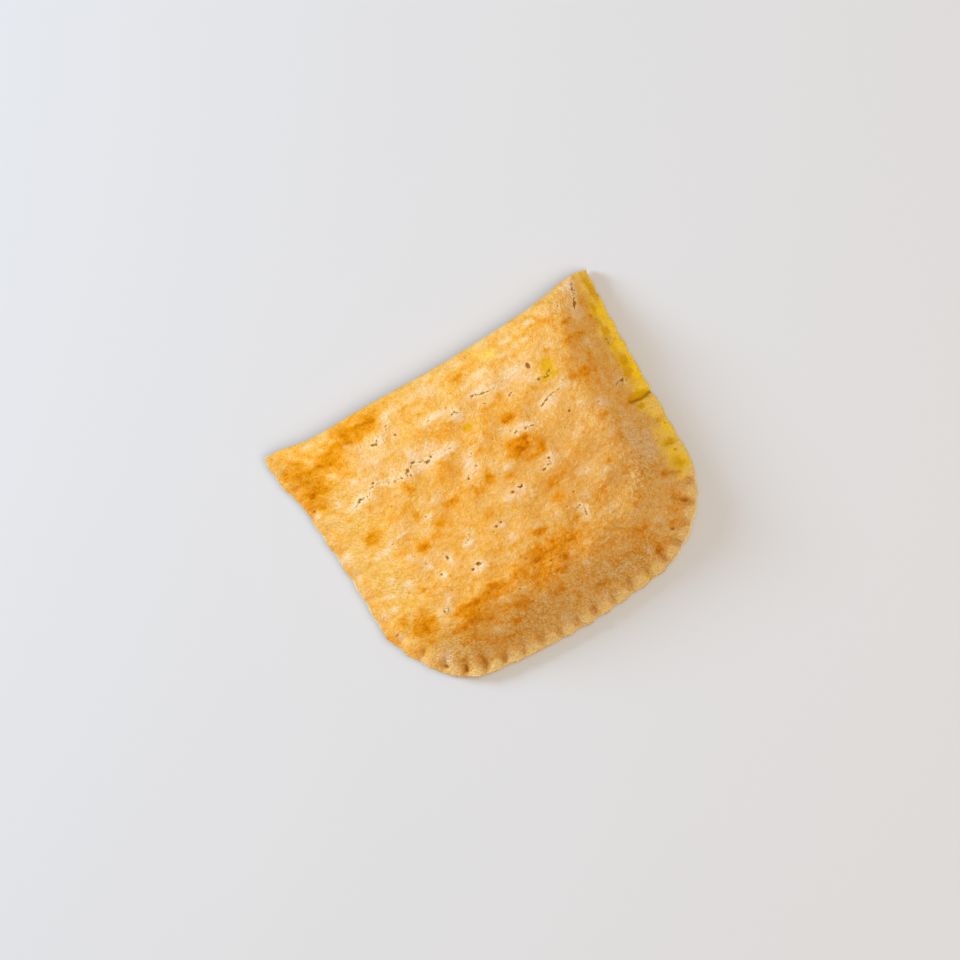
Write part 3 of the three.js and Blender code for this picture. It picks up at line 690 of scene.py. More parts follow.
def blisters(x, y):
    """Sum of h (1 - (r / R)^2)^2 inside each blister's radius R, at seeded random places."""
    draw = np.random.default_rng(7)
    total = np.zeros(np.shape(x))
    for _ in range(BLISTERS):
        cx, cy = draw.uniform(-66, 66), draw.uniform(-54, 54)
        radius = draw.uniform(0.7, 1.3) + 1.6 * draw.random() ** 4
        height = draw.uniform(0.06, 0.16) * radius**0.7
        near = np.flatnonzero((np.abs(x - cx) < radius) & (np.abs(y - cy) < radius))
        r2 = ((x[near] - cx) ** 2 + (y[near] - cy) ** 2) / radius**2
        total[near] += height * np.clip(1 - r2, 0, 1) ** 2
    return total


print(BLISTERS, "blisters")

# %% [markdown]
# ## The crust's own relief
#
# The rest is small: broad dimples and a fine grain, coarser towards the front right, the cracks with their
# raised edges, the pits with a small lip, and the blisters, which stand higher on the pale places. One
# class works all of it out from the same lists as the colours, so that a crack's brown line lies exactly in
# its groove.

# %% Relief and marks at any points
CREAM_SWELLING = 0.22
CRACK_WIDTH = 0.4
CRACK_DEPTH = 0.2
RIDGE_HEIGHT = 0.16
LIP_HEIGHT = 0.12
PIT_DEPTH = 0.45
TURMERIC_DEPTH = 0.15
FURROW_WIDTH = 0.95
FURROW_DEPTH = 0.45


def widened(pits, longer, wider, share):
    """The same pits, each longer and wider by so much, and with a share of its depth."""
    return [(a, f, length + longer, width + wider, share * depth) for a, f, length, width, depth in pits]


class Crust:
    """Relief and colour marks of the crust at given points, all as arrays."""

    def __init__(self, place):
        x, y = place.x, place.y
        along, forward = x - RULER_X, RULER_Y - y
        wobble_a = 1.1 * rough(x, y, 5.0, 11) + 0.45 * noise(x, y, 1.4, 15)
        wobble_f = 1.1 * rough(x, y, 5.0, 21) + 0.45 * noise(x, y, 1.4, 25)

        def wobbled(ovals, share):
            return marks(along + share * wobble_a, forward + share * wobble_f, ovals)

        self.cream = wobbled(CREAM, 0.4)
        self.brown = wobbled(BROWNED, 0.55)
        self.yellow = wobbled(YELLOW, 1.0)
        self.turmeric = wobbled(TURMERIC_SPOTS, 0.8)

        shaken = (x + 0.25 * noise(x, y, 1.6, 31), y + 0.25 * noise(x, y, 1.6, 32))
        off_furrow, firmness = line_field(FURROWS, *shaken)
        self.furrow = firmness * bell(off_furrow, FURROW_WIDTH)
        # Painted shade: a darker strip along one side of each furrow.
        self.furrow_shade_side = firmness * bell(off_furrow - 0.6, 1.6)

        self.distance, self.strength = line_field(CRACKS, *shaken)
        self.beads = 0.48 + 0.48 * noise(x, y, 0.9, 33) + 0.15 * noise(x, y, 3.2, 34)
        crack = self.strength * bell(self.distance, CRACK_WIDTH) * ease(self.beads, 0.4, 0.65)
        ridge = self.strength * bell(np.abs(self.distance) - 0.2, 1.25)
        self.pit = marks(along, forward, PITS, power=3.0)
        lips = marks(along, forward, widened(PITS, 0.5, 0.5, 0.8)) - self.pit
        around_pits = marks(along, forward, widened(PITS, 1.4, 1.2, 0.7))
        rim_of_crack = bell(self.distance + 0.8 * noise(x, y, 3.0, 35), 1.7)
        rim_of_crack = rim_of_crack * (0.8 + 0.4 * noise(x, y, 2.2, 36))
        self.margin = np.maximum(self.strength * rim_of_crack, around_pits)

        self.bumps = blisters(x, y)
        depth, self.dent, self.crease = crimps(place)
        inner = ease(np.minimum(place.rim, place.fold), 0.5, 6)
        self.coarse = np.clip(ease(forward + 0.3 * along, 80, 125) + 0.6 * ease(along, 98, 120), 0, 1)
        broad = 0.06 * noise(x, y, 7.5, 41) + (0.05 + 0.13 * self.coarse) * noise(x / 1.3, y, 3.1, 42)
        fine = (0.14 * noise(x, y, 2.0, 43) + 0.14 * noise(x, y, 1.15, 44)) * (0.75 + 0.8 * self.coarse)
        self.height = (
            inner * (broad + self.bumps * (0.7 + 0.8 * self.cream))
            + fine
            + CREAM_SWELLING * self.cream * inner
            + RIDGE_HEIGHT * ridge
            + LIP_HEIGHT * lips
            - CRACK_DEPTH * crack
            - PIT_DEPTH * self.pit
            - TURMERIC_DEPTH * self.turmeric
            - FURROW_DEPTH * self.furrow
            - depth
        )


# %% [markdown]
# ## The grid
#
# The patty's skin is laid out like a picture and its frame. A patch of rows and columns covers the middle
# of the top, a band of rings leads out to the rim, and more rings run down the side and under it. Every
# ring has one point for each column of the rim. Under the patty nobody needs so many, so there each ring
# halves their number.

# %% Plan of the grid
PATCH_SCALE = 0.84
BAND_RINGS = 19
BAND_CROWDING = 1.25
CORNERS = np.cumsum([0, SIDE_CELLS, FRONT_CELLS, SIDE_CELLS])

# Down the side, from the upper sheet's edge to the lower sheet's: share of the step between the sheets,
# further inset in mm, and share of the edge's height. The fourth is the bottom of the seam between the
# sheets.
SIDE_PROFILE = [
    (1.0, 0.02, 0.93),
    (1.0, -0.03, 0.78),
    (1.0, 0.05, 0.62),
    (1.0, 0.45, 0.53),
    (1.0, -0.05, 0.49),
    (0.0, 0.25, 0.46),
    (0.0, 0.02, 0.36),
    (0.0, -0.02, 0.2),
    (0.0, 0.12, 0.06),
    (0.0, 0.45, 0.0),
]
UNDER_SHARES = [0.03, 0.06, 0.1]
UNDER_HALVINGS = [0.16, 0.26, 0.4, 0.6]


def inset(points, amount):
    """p (1 - amount / |p|): moved towards the middle of the patty."""
    distance = np.hypot(*points.T)
    return points * (1 - amount / distance)[:, None]


def between(a, b, steps):
    """a + (b - a) i / steps for i from 0 to steps."""
    return a + (b - a) * (np.arange(steps + 1) / steps)[:, None]


box_middle = (rim_points.min(0) + rim_points.max(0)) / 2
scallop = SCALLOP * (0.5 + 0.5 * np.cos(2 * math.pi * column_crimps))
rim_points[: len(pressed)] = inset(pressed, scallop)
edge = Place(*rim_points.T)
rimness = 1 - edge.fold_share

# The cut edges of the two sheets wander a little, each in its own way.
lower_ragged = 0.3 * rough(*rim_points.T, 4.5, 51) + 0.12 * noise(*rim_points.T, 0.9, 54)
upper_ragged = 0.35 * rough(*rim_points.T, 5.5, 61) + 0.15 * noise(*rim_points.T, 1.1, 64)
corner_reach = 0.95 * bell(np.hypot(edge.x - 53, edge.y + 40), 16)
layer_step = rimness * np.clip(SHEET_STEP + upper_ragged + corner_reach, 0.05, 2.0)
rim_points = inset(rim_points, rimness * lower_ragged)

corners = rim_points[CORNERS] * PATCH_SCALE
left_side = between(corners[0], corners[1], SIDE_CELLS)
right_side = between(corners[3], corners[2], SIDE_CELLS)
across = (np.arange(FRONT_CELLS + 1) / FRONT_CELLS)[None, :, None]
patch_xy = left_side[:, None] + (right_side - left_side)[:, None] * across
border = np.vstack([patch_xy[:-1, 0], patch_xy[-1, :-1], patch_xy[:0:-1, -1], patch_xy[0, :0:-1]])
outwards = 1 - (1 - np.arange(1, BAND_RINGS + 1) / BAND_RINGS) ** BAND_CROWDING
upper_edge = inset(rim_points, layer_step)
band_xy = border + (upper_edge - border) * outwards[:, None, None]
print("patch", patch_xy.shape[:2], "band", band_xy.shape[:2])

# %% [markdown]
# ## Heights
#
# With all points laid out as seen from above, each gets its height: the pillow's, plus the crust's relief
# on the top. Down the side each ring has its own height and inset, which draws the thin seam between the
# two sheets. The underside is level, curves up to the edge and has no relief.

# %% Heights of the top
top_xy = np.vstack([patch_xy.reshape(-1, 2), band_xy.reshape(-1, 2)])
top_place = Place(*top_xy.T)
top_crust = Crust(top_place)
top_z = pillow(top_place) + top_crust.height
print(f"top from {top_z.min():.2f} to {top_z.max():.2f} mm")

# %% The side and the underside
edge_top = top_z[-COLUMNS:]
edge_under = underside(edge)
seam_gape = np.clip(0.75 + 0.7 * rough(*rim_points.T, 4.0, 72), 0.15, 1.6)
side_rings = []
for step_share, nudge, height in SIDE_PROFILE:
    xy = inset(rim_points, step_share * layer_step + rimness * nudge * seam_gape)
    seam_wander = 0.09 * rimness * rough(*rim_points.T, 5.0, 71) * math.sin(math.pi * height)
    side_rings.append(np.column_stack([xy, mix(edge_under, edge_top, height + seam_wander)]))


def under_ring(share, every):
    """The rim's points, every so many, drawn in by a share of the way and laid on the underside."""
    xy = rim_points[::every] * (1 - share)
    return np.column_stack([xy, underside(Place(*xy.T))])


under_rings = [under_ring(share, 1) for share in UNDER_SHARES]
halved_rings = [under_ring(share, 2 ** (i + 1)) for i, share in enumerate(UNDER_HALVINGS)]
print(len(side_rings), "rings down the side,", len(under_rings) + len(halved_rings), "under the patty")


# %% [markdown]
# ## Faces
#
# Rows of a grid become quads, and a ring joined to one with half its points becomes rows of three
# triangles. All of them run anticlockwise seen from outside, so every face points outwards.

# %% From points to faces
def grid_quads(index):
    """Corners (i, j), (i+1, j), (i+1, j+1), (i, j+1) of every cell of a table of point numbers."""
    return np.stack([index[:-1, :-1], index[1:, :-1], index[1:, 1:], index[:-1, 1:]], axis=-1).reshape(-1, 4)


def closed(ring):
    """A ring's point numbers with the first one again at the end."""
    return np.append(ring, ring[0])


def halving_triangles(outer, inner):
    """Three triangles for each pair of steps on the outer ring and the one step on the inner ring."""
    a, b, c = closed(outer)[:-2:2], closed(outer)[1::2], closed(outer)[2::2]
    d, e = inner, closed(inner)[1:]
    return np.vstack([np.column_stack(corner) for corner in ((a, d, b), (b, d, e), (b, e, c))])


points = np.vstack([np.column_stack([top_xy, top_z]), *side_rings, *under_rings, *halved_rings, [[0, 0, 0]]])
numbers = np.arange(len(points))
patch_count = patch_xy.shape[0] * patch_xy.shape[1]
patch = numbers[:patch_count].reshape(patch_xy.shape[:2])
patch_rim = np.concatenate([patch[:-1, 0], patch[-1, :-1], patch[:0:-1, -1], patch[0, :0:-1]])
full_rings = BAND_RINGS + len(side_rings) + len(under_rings)
rings = numbers[patch_count : patch_count + full_rings * COLUMNS].reshape(full_rings, COLUMNS)
rings = np.vstack([patch_rim, rings])
quads = np.vstack([grid_quads(patch), grid_quads(np.column_stack([rings, rings[:, 0]]))])

triangles = []
outer = rings[-1]
start = patch_count + full_rings * COLUMNS
for ring in halved_rings:
    inner = numbers[start : start + len(ring)]
    triangles.append(halving_triangles(outer, inner))
    outer = inner
    start += len(ring)
hub = np.full(len(outer), numbers[-1])
triangles.append(np.column_stack([outer, hub, np.roll(outer, -1)]))
triangles = np.vstack(triangles)
triangle_count = 2 * len(quads) + len(triangles)
print(f"{len(points)} points, {triangle_count} triangles")

# %% [markdown]
# ## The mesh
#
# Blender takes lists of points and faces. The mesh keeps the place of the piece in its points, so the
# object itself stays at the origin, unturned and unscaled.

# %% Make the mesh
centred = points - np.append(box_middle, 0)
faces = [*quads.tolist(), *triangles.tolist()]
mesh = bpy.data.meshes.new("patty_crust")
mesh.from_pydata((centred * MM).tolist(), [], faces)
mesh.shade_smooth()
patty = bpy.data.objects.new("patty_crust", mesh)
bpy.context.scene.collection.objects.link(patty)
print("faces", len(mesh.polygons), "size, mm:", np.round(np.ptp(points, axis=0), 1))

# %% [markdown]
# ## Marks for the colours
#
# The colours are painted by the material, but where they go is worked out here: each mark is one number for
# every point of the mesh, stored as an attribute that the material reads. That keeps cracks, pits and
# crimps in exact register with their relief. Down the side a mark fades from its value at the edge of the
# top to a value for below.

# %% Storing a mark
side_heights = np.array([height for _, _, height in SIDE_PROFILE])[:, None]
under_count = len(points) - len(top_xy) - len(side_rings) * COLUMNS


def store(name, values):
    """One number for every point of the mesh, as an attribute."""
    mesh.attributes.new(name, "FLOAT", "POINT").data.foreach_set("value", values.astype(np.float32))


def mark(name, top_values, below=0.0):
    """Given on the top, and mixed towards the value below by height on the side."""
    down_the_side = mix(below, top_values[-COLUMNS:], side_heights).ravel()
    store(name, np.concatenate([top_values, down_the_side, np.full(under_count, below)]))


def side_mark(name, by_ring, share):
    """Nothing on the top and below, and a value for each ring of the side, times a share for each column."""
    rings_down = (np.array(by_ring)[:, None] * share).ravel()
    store(name, np.concatenate([np.zeros(len(top_xy)), rings_down, np.zeros(under_count)]))


# %% Soft areas: painted shade, dusty, golden and mottled
# Painted shade: these ovals darken the colour over the right of the top and along the front, where the dome
# slopes away from the low lamp. The band along the rim is darkened with them.
SHADED_AREAS = [(92, 62, 26, 30, 1.0), (112, 30, 14, 14, 0.3), (60, 100, 40, 8, 0.4)]
DUSTY = [
    (24, 95, 9, 7, 1), (118, 62, 5, 9, 0.5), (92, 98, 16, 6, 0.8), (112, 72, 8, 6, 0.5), (56, 96, 16, 8, 0.7),
]

x, y = top_xy.T
along, forward = x - RULER_X, RULER_Y - y
blotches = 0.5 + 0.5 * rough(x / 1.5, y, 6.5, 81, layers=4)
mottle = 0.5 + 0.5 * rough(x / 1.25, y, 2.0, 91, layers=3)
dry = marks(along + 4 * noise(x, y, 11, 141), forward + 4 * noise(x, y, 11, 142), SHADED_AREAS)
dusty = marks(along + 2 * noise(x, y, 5, 121), forward + 2 * noise(x, y, 5, 122), DUSTY)
rim_band = 1 - ease(top_place.rim, 2.0, 6.5)
mark("golden", blotches, below=0.4)
mark("mottle", mottle, below=0.5)
mark("dry", np.clip(dry + 0.4 * rim_band, 0, 1), below=0.5)
mark("dusty", dusty)
mark("coarse", top_crust.coarse, below=0.5)

# %% Yellow areas and the strip along the right
# By the ruler: how far forward, where the strip's inner edge lies as an x, and how strong the strip is.
YELLOW_STRIP = [
    (3, 64.5, 0.75), (10, 63.5, 0.9), (18, 62.2, 1.0), (30, 61.8, 1.1), (43, 61.2, 1.15),
    (50, 60.0, 0.85), (58, 61.0, 0.7), (66, 59.2, 0.65), (76, 58.8, 0.95), (84, 62.5, 0),
]
strip_places, strip_edges, strip_strengths = np.array(YELLOW_STRIP).T
strip_inner = np.interp(forward, strip_places, strip_edges)
strip_strength = np.interp(forward, strip_places, strip_strengths)
strip_wander = 1.7 * rough(x, y, 4.5, 101)
strip = ease(x + strip_wander, strip_inner - 5.0, strip_inner + 3.2) * strip_strength
strip_patches = 0.9 + 0.4 * noise(x, y, 5, 102)
mark("yellow", np.clip(np.maximum(top_crust.yellow, strip * strip_patches), 0, 1))
mark("turmeric", top_crust.turmeric)

# %% Rim, browned and cream places, cracks and sheets
crimped_front = rim_band * ease(top_place.crimp, 9, 14)
pads = crimped_front * np.clip(1 - 1.6 * top_crust.dent, 0, 1)
bare_side = ease(top_place.crimp, 16, 20) * (1 - ease(top_place.crimp, 29, 31))
bare_edge = (1 - ease(top_place.rim, 0.2, 1.0)) * bare_side
mark("rim", crimped_front * (1 - bare_edge), below=0.6)
mark("pads", np.clip(pads - bare_edge, 0, 1))

right_side = ease(along + 0.15 * forward + 3 * noise(x, y, 9, 95), 74, 112)
lower_right = ease(forward + 0.35 * along + 3 * noise(x, y, 8, 96), 100, 125)
scorch = ease(rough(x / 1.4, y, 2.6, 111, layers=4), 0.0, 1.1)
scorch = scorch * (0.3 + 0.05 * right_side + 0.12 * lower_right)
patch_edges = ease(top_crust.brown + 0.2 * rough(x, y, 2.2, 131), 0.3, 0.55)
browned = (0.4 + 0.3 * top_crust.brown) * top_crust.brown + 0.3 * patch_edges + scorch
# Along one side of each furrow the colour is darkened as painted shade.
browned = browned + 0.45 * top_crust.furrow_shade_side
mark("browned", np.clip(browned, 0, 1.3))
cream = top_crust.cream + 0.75 * top_crust.margin + 0.8 * top_crust.bumps + 0.35 * pads + 1.4 * bare_edge
mark("cream", np.clip(cream, 0, 1.4))

# The pits, the creases of the crimps and the furrows are darkened in colour: painted shade in the hollows,
# with the brown of the pits.
mark("hollow", np.clip(top_crust.pit + 0.32 * top_crust.crease + 0.42 * top_crust.furrow, 0, 1))
mark("crack_distance", np.clip(top_crust.distance, -4, 4), below=4.0)
mark("crack_strength", top_crust.strength * (1 - ease(np.abs(top_crust.distance), 2.2, 3.2)))
mark("beads", top_crust.beads)
side_mark("lower_sheet", [0, 0, 0, 0.3, 1, 1, 1, 1, 1, 0.9], rimness)
# Painted shade: the seam between the two sheets is darkened in colour.
side_mark("seam", [0, 0, 0.2, 1, 0.1, 0, 0, 0, 0, 0], rimness * np.clip(seam_gape, 0, 1))
print("marks:", [a.name for a in mesh.attributes if not a.name.startswith((".", "position"))])

# %% [markdown]
# ## Arithmetic for the material
#
# A material is a sum of masks. Wiring that up with Math nodes hides it, so a small class stands for one
# socket and lets Python's own signs add the nodes. Everything else is made by one method that takes a
# node's type, its settings and what goes into its sockets.


# %% Sockets that can be added and multiplied
class Flow:
    """One output socket of a node. Signs between flows, or a flow and a number, add Math nodes."""

    def __init__(self, finish, socket):
        self.finish = finish
        self.socket = socket

    def math(self, operation, *inputs):
        return self.finish.node("ShaderNodeMath", {"operation": operation}, dict(enumerate(inputs)))

    def __add__(self, other):
        return self.math("ADD", self, other)

    def __sub__(self, other):
        return self.math("SUBTRACT", self, other)

    def __mul__(self, other):
        return self.math("MULTIPLY", self, other)

    def __rsub__(self, other):
        return self.math("SUBTRACT", other, self)

    __radd__ = __add__
    __rmul__ = __mul__

    def ease(self, low, high):
        """0 below low, 1 above high, and smooth between them."""
        limits = {"Value": self, "From Min": low, "From Max": high}
        return self.finish.node("ShaderNodeMapRange", {"interpolation_type": "SMOOTHSTEP"}, limits)

    def size(self):
        """The value without its sign."""
        return self.math("ABSOLUTE", self)


def set_stops(elements, stops):
    """Gives a ramp the stops of a list, each a position from 0 to 1 and a colour."""
    while len(elements) < len(stops):
        elements.new(0.5)
    for element, (position, colour) in zip(elements, stops):
        element.position = position
        element.color = colour


class Finish:
    """A material and its nodes."""

    def __init__(self, name):
        self.material = bpy.data.materials.new(name)
        self.material.use_nodes = True
        self.tree = self.material.node_tree
        self.tree.nodes.clear()

    def node(self, kind, settings, inputs, output=0):
        """Adds a node: first its settings, such as an operation or a ramp's stops, then a number, colour or
        flow into each named or numbered socket. Gives back one of its outputs, if it has any."""
        node = self.tree.nodes.new(kind)
        for name, value in settings.items():
            if name == "stops":
                set_stops(node.color_ramp.elements, value)
            else:
                setattr(node, name, value)
        for name, value in inputs.items():
            if isinstance(value, Flow):
                self.tree.links.new(value.socket, node.inputs[name])
            else:
                node.inputs[name].default_value = value
        return Flow(self, node.outputs[output]) if node.outputs else None

    def mark(self, name):
        """A mark stored on the mesh."""
        return self.node("ShaderNodeAttribute", {"attribute_name": name}, {}, "Fac")

    def coat(self, colour, *layers):
        """The colour with other colours laid on it in turn, each by its share."""
        settings = {"data_type": "RGBA", "clamp_factor": True}
        for over, share in layers:
            colour = self.node("ShaderNodeMix", settings, {0: share, 6: colour, 7: over}, 2)
        return colour

    def grain(self, where, scale, detail, roughness=0.55):
        """Noise of 0 to 1 with so many waves to the millimetre."""
        inputs = {"Vector": where, "Scale": scale, "Detail": detail, "Roughness": roughness}
        return self.node("ShaderNodeTexNoise", {}, inputs, "Fac")

    def cells(self, where, scale, output):
        """Random cells, so many to the millimetre: the colour of each, or the distance to its middle."""
        return self.node("ShaderNodeTexVoronoi", {}, {"Vector": where, "Scale": scale}, output)

    def surface(self, settings, sockets):
        """A principled shader, joined to the material's surface."""
        shader = self.node("ShaderNodeBsdfPrincipled", settings, sockets, "BSDF")
        self.node("ShaderNodeOutputMaterial", {}, {"Surface": shader})


# %% [markdown]
# ## Colours as they look
#
# A colour is easiest to name as it looks on the screen, but a shader wants the share of light that the
# surface gives back. So each is turned into that share for a level surface in this scene's light. A number
# may go a little past 255, as turmeric's red does, because not all of the crust gets the full light.

# %% Colours of baked dough
LIGHT_ON_TOP = 1.17
SHEEN_ON_TOP = 0.004


def paint(red, green, blue):
    """The colour of a surface that is to look like this, 0 to 255, lying level in the light of this scene:
    each channel is ((c / 255 + 0.055) / 1.055)^2.4, less the sheen, divided by the light that falls on it."""
    seen = (((c / 255 + 0.055) / 1.055) ** 2.4 for c in (red, green, blue))
    return (*(max(channel - SHEEN_ON_TOP, 0.002) / LIGHT_ON_TOP for channel in seen), 1.0)


# From blistered and pale, at 0, to scorched, at 1.
BAKES = [
    (0.0, paint(250, 217, 172)),
    (0.2, paint(248, 204, 144)),
    (0.35, paint(245, 191, 108)),
    (0.5, paint(242, 176, 70)),
    (0.65, paint(240, 160, 44)),
    (0.82, paint(227, 143, 14)),
    (1.0, paint(194, 101, 0)),
]
# Painted shade: a dull tan laid over the right and the front of the top, where the dome slopes away from the
# lamp.
SHADE_TAN = paint(206, 150, 82)
RIM_TAN = paint(232, 180, 98)
PAD_CREAM = paint(254, 217, 138)
CREAM_WHITE = paint(250, 218, 164)
BROWN = paint(205, 120, 14)
PALE_YELLOW = paint(260, 216, 92)
TURMERIC = paint(262, 218, 6)
DEEP_YELLOW = paint(230, 172, 2)
# Dark brown for hollows: painted shade in pits, creases, pinholes and the seam, with some of the pits' own
# brown.
SHADED_CREVICE_BROWN = paint(172, 106, 2)
CRACK_BROWN = paint(182, 122, 0)
PALE_DOUGH = paint(255, 236, 184)
print(len(BAKES), "stops from pale to scorched")

# %% [markdown]
# ## The crust
#
# Baked dough is golden where it is thin and dry, orange-brown where it touched the heat, and cream where a
# blister lifted it early. None of these has a sharp edge, but none has a smooth one either: each mark's
# edge is broken up by grain, because the colour changes from one crumb to the next. The grain is noise on
# the object's own coordinates, in millimetres, so it stays put when the patty moves.

# %% Grain
crust = Finish("crust_baked_pastry")
object_place = crust.node("ShaderNodeTexCoord", {}, {}, "Object")
millimetres = crust.node("ShaderNodeVectorMath", {"operation": "SCALE"}, {0: object_place, "Scale": 1000.0})
crumb = crust.grain(millimetres, 0.75, detail=3.0, roughness=0.75)
patchy = crust.grain(millimetres, 0.3, detail=5.0, roughness=0.68)
dust = crust.grain(millimetres, 1.3, detail=2.0, roughness=0.7)
unevenness = (crumb - 0.5) * 0.9 + (patchy - 0.5) * 0.9
flecks = (dust * 0.65 + crumb * 0.35).ease(0.5, 0.62)
scorched_crumbs = 1 - dust.ease(0.3, 0.46)

# Flour and coarse crumbs lie as separate grains, each a cell of its own shade.
grains = crust.cells(millimetres, 1.6, "Color")
granular = crust.mark("dusty") + crust.mark("coarse") * 0.6
floury = granular * grains.ease(0.5, 0.75)
gritty = granular * (1 - grains.ease(0.3, 0.5))
pinholes = (1 - crust.cells(millimetres, 0.36, "Distance").ease(0.05, 0.13)) * patchy.ease(0.5, 0.58)
print("nodes of the grain:", len(crust.tree.nodes))

# %% Base colour of the crust
bake = crust.mark("browned") * 0.52 - crust.mark("cream") * 0.38 + (crust.mark("golden") - 0.5) * 0.15
bake = bake + (crust.mark("mottle") - 0.5) * 0.2 + unevenness * (0.38 + crust.mark("coarse") * 0.2) + 0.43
# Painted shade on the right and the front, thinner over the browned places.
painted_shade_share = (crust.mark("dry") + unevenness * 0.5) * (0.4 - 0.4 * bake.ease(0.6, 0.85))
on_pads = (crust.mark("pads") + unevenness * 0.7).ease(0.15, 0.75)
yellow = crust.mark("yellow") + unevenness * 0.65
clear_yellow = 0.3 + 0.3 * patchy.ease(0.42, 0.56) + 0.4 * crumb.ease(0.38, 0.6)
deep_yellow = (crust.mark("turmeric") + unevenness * 0.35).ease(0.1, 0.6)

colour = crust.node("ShaderNodeValToRGB", {"stops": BAKES}, {"Fac": bake}, "Color")
colour = crust.coat(
    colour,
    (SHADE_TAN, painted_shade_share),
    (RIM_TAN, crust.mark("rim") * 0.65),
    (PAD_CREAM, on_pads * 0.8),
    (CREAM_WHITE, flecks * (0.28 - 0.28 * bake.ease(0.45, 0.8))),
    (BROWN, scorched_crumbs * 0.22),
    (CREAM_WHITE, floury * (0.36 - 0.24 * bake.ease(0.6, 0.9))),
    (BROWN, gritty * 0.32),
    (PALE_YELLOW, yellow.ease(0.1, 0.6) * 0.7),
    (TURMERIC, yellow.ease(0.4, 1.0) * clear_yellow),
    (DEEP_YELLOW, deep_yellow * 0.9),
)

# %% [markdown]
# ## Cracks, pits and the cut edge
#
# A crack isn't a line but a row of holes, joined by a hair's breadth of brown, with pale lifted dough on
# both sides. The distance to the crack gives all three, once noise has made it wander: the holes open where
# the beads along it are strong, and the pale rim is the widest. The cut edge of the lower sheet never
# browned.

# %% Cracks, pits and the cut edge
wander = (crust.grain(millimetres, 0.9, detail=2.0) - 0.5) * 2.8
off_crack = (crust.mark("crack_distance") + wander).size()
strength = crust.mark("crack_strength")
speckle = crust.mark("beads") * 0.6 + crust.grain(millimetres, 0.9, detail=2.0, roughness=0.6) * 0.4
holes_along = speckle + (strength - 0.7) * 0.35 - off_crack * 0.45
crack_line = holes_along.ease(0.42, 0.54) * strength.ease(0.02, 0.15)
crack_rim = (1 - off_crack.ease(0.3, 2.0)) * strength.ease(0.1, 0.7) * (0.4 + 0.6 * patchy.ease(0.42, 0.58))
hairline = (1 - off_crack.ease(0.1, 0.4)) * strength.ease(0.25, 0.7) * 0.2

colour = crust.coat(
    colour,
    (CREAM_WHITE, crack_rim * 0.75 * (1 - crust.mark("turmeric"))),
    (CRACK_BROWN, crack_line * 0.95 + hairline),
    # Painted shade in the pits, creases, furrows and pinholes, darker than their brown alone.
    (SHADED_CREVICE_BROWN, crust.mark("hollow").ease(0.16, 0.7) * 0.95),
    (SHADED_CREVICE_BROWN, pinholes * 0.6),
    (PALE_DOUGH, crust.mark("lower_sheet") * (0.8 + unevenness * 0.6)),
    # Painted shade in the seam between the sheets.
    (SHADED_CREVICE_BROWN, crust.mark("seam") * 0.7),
)

# %% [markdown]
# ## Gloss and grit
#
# Pastry is dry, so it hardly shines, and a little light passes under its skin, which keeps the shadows
# warm. Grains too small for the mesh, a tenth of a millimetre and less, are a bump from the same noise as
# their colours.

# %% Gloss and fine relief of the crust
GRAIN_HEIGHT = 0.0008
LIGHT_UNDER_SKIN = 0.0012
roughness = 0.6 + (crumb - 0.5) * 0.3 - bake * 0.1
graininess = 1.15 + crust.mark("coarse") * 0.6 + crust.mark("dusty") * 0.4
relief = (crumb * 0.75 + dust * 0.55) * graininess + floury * 0.25 - crack_line * 0.16 - pinholes * 0.25
bump_inputs = {"Strength": 1.0, "Distance": GRAIN_HEIGHT, "Height": relief}
crust.surface(
    {"distribution": "GGX"},
    {
        "Base Color": colour,
        "Roughness": roughness,
        "Normal": crust.node("ShaderNodeBump", {}, bump_inputs, "Normal"),
        "Specular IOR Level": 0.01,
        "Subsurface Weight": 0.12,
        "Subsurface Radius": (1.0, 0.5, 0.22),
        "Subsurface Scale": LIGHT_UNDER_SKIN,
    },
)
mesh.materials.append(crust.material)
print("crust material:", len(crust.tree.nodes), "nodes")

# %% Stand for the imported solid
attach(patty, "root")
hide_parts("patty")

# %% [markdown]
# ## Floor
#
# The floor is one plain pale square, so large that its edges stay out of the picture, and matt, so that no
# lamp shows in it. It lies a fifth of a millimetre below the patty, because two surfaces at one height
# would flicker.

# %% Floor
FLOOR_HALF = 5.0
FLOOR_Z = -0.0002
FLOOR_GREY = (0.57, 0.57, 0.58, 1.0)
FLOOR_SIGNS = [(-1, -1), (1, -1), (1, 1), (-1, 1)]
floor_corners = [(sx * FLOOR_HALF, sy * FLOOR_HALF, FLOOR_Z) for sx, sy in FLOOR_SIGNS]
floor_mesh = bpy.data.meshes.new("floor")
floor_mesh.from_pydata(floor_corners, [], [(0, 1, 2, 3)])
floor = bpy.data.objects.new("floor", floor_mesh)
bpy.context.scene.collection.objects.link(floor)
floor_finish = Finish("floor_pale")
floor_finish.surface({}, {"Base Color": FLOOR_GREY, "Roughness": 0.8, "Specular IOR Level": 0.0})
floor_mesh.materials.append(floor_finish.material)
print(f"floor {2 * FLOOR_HALF:.0f} m wide")

# %% [markdown]
# ## Camera
#
# The patty is seen from straight above, a little turned, so the camera looks down and is turned about the
# upright axis. A long lens from over a metre away keeps the dome from swelling. The lens follows from the
# width of what the picture shows: focal length = sensor width x distance / picture width.

# %% Camera
CAMERA_ABOVE = (-3.81, 8.90)
CAMERA_TURN = -30.3
CAMERA_HEIGHT = 1.10
PATTY_RIM_HEIGHT = 0.003
PICTURE_WIDTH = 0.3456
SENSOR = 36.0

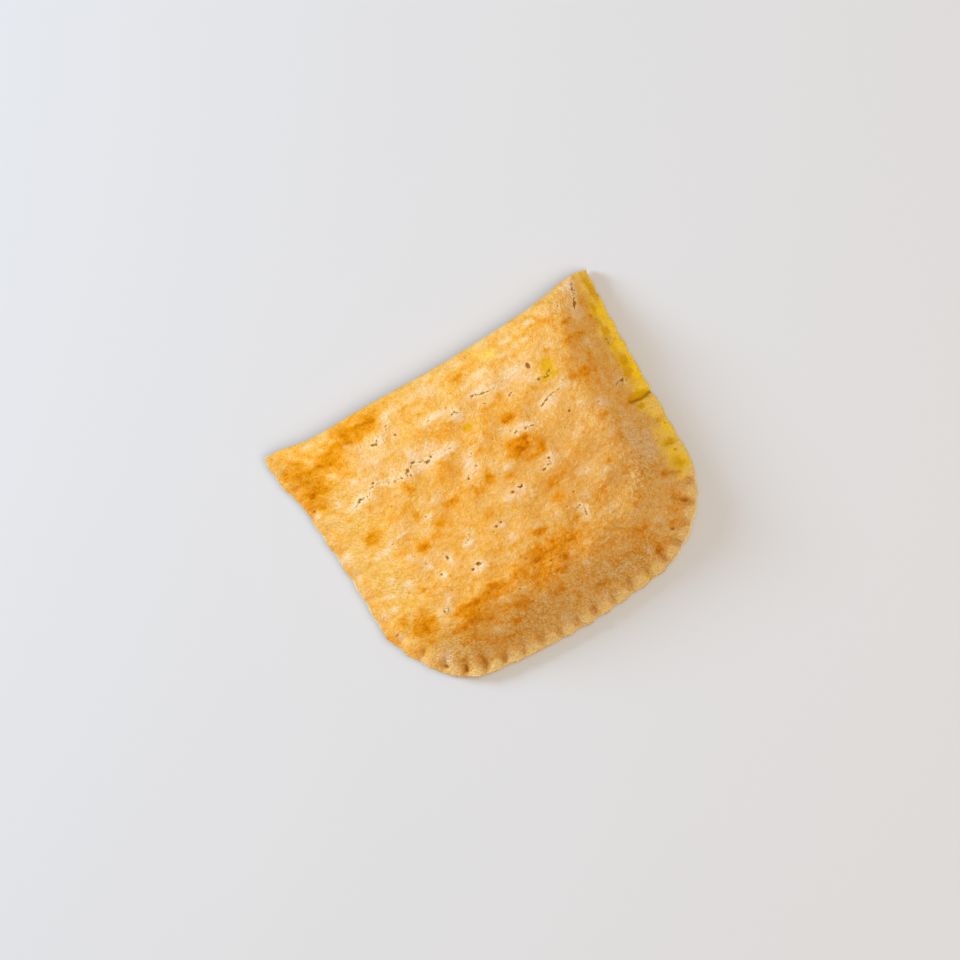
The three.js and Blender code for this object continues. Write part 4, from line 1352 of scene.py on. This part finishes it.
camera_data = bpy.data.cameras.new("camera")
camera_data.sensor_width = SENSOR
camera_data.lens = SENSOR * CAMERA_HEIGHT / PICTURE_WIDTH
camera_data.clip_start = 0.01
camera_data.clip_end = 20.0
camera = bpy.data.objects.new("camera", camera_data)
camera.location = (CAMERA_ABOVE[0] * MM, CAMERA_ABOVE[1] * MM, CAMERA_HEIGHT + PATTY_RIM_HEIGHT)
camera.rotation_euler = (0, 0, math.radians(CAMERA_TURN))
bpy.context.scene.collection.objects.link(camera)
bpy.context.scene.camera = camera
print(f"camera {CAMERA_HEIGHT} m above, lens {camera_data.lens:.0f} mm")

# %% [markdown]
# ## Light
#
# Two soft lamps and a faint glow from all round light the patty. One lamp is low and cool, behind the left
# end of the fold: it draws the crimps and casts the long soft shadow. The other is large and warm, high
# above the front, and fills that shadow. Lamps this soft leave no hard edge on the floor.


# %% Light
def soft_lamp(name, towards, height_angle, distance, size, watts, colour):
    """A square lamp facing the patty, at a compass angle measured from +X and at an angle above the floor."""
    data = bpy.data.lights.new(name, "AREA")
    data.size = size
    data.energy = watts
    data.color = colour
    lamp = bpy.data.objects.new(name, data)
    turn, rise = math.radians(towards), math.radians(height_angle)
    lamp.location = [
        distance * math.cos(rise) * math.cos(turn),
        distance * math.cos(rise) * math.sin(turn),
        distance * math.sin(rise),
    ]
    lamp.rotation_euler = (0, math.radians(90 - height_angle), turn)
    bpy.context.scene.collection.objects.link(lamp)


COOL = (0.75, 1.0, 1.3)
WARM = (1.11, 1.0, 0.88)
GLOW = (1.12, 1.0, 0.86, 1.0)
soft_lamp("low_lamp", towards=134, height_angle=21, distance=1.5, size=0.47, watts=23.6, colour=COOL)
soft_lamp("high_lamp", towards=-40, height_angle=72, distance=1.6, size=1.5, watts=18.6, colour=WARM)
world = bpy.data.worlds.new("studio")
world.use_nodes = True
world.node_tree.nodes["Background"].inputs["Color"].default_value = GLOW
world.node_tree.nodes["Background"].inputs["Strength"].default_value = 0.4
bpy.context.scene.world = world
bpy.context.scene.view_settings.view_transform = "Standard"
print("lamps:", [light.name for light in bpy.data.lights])
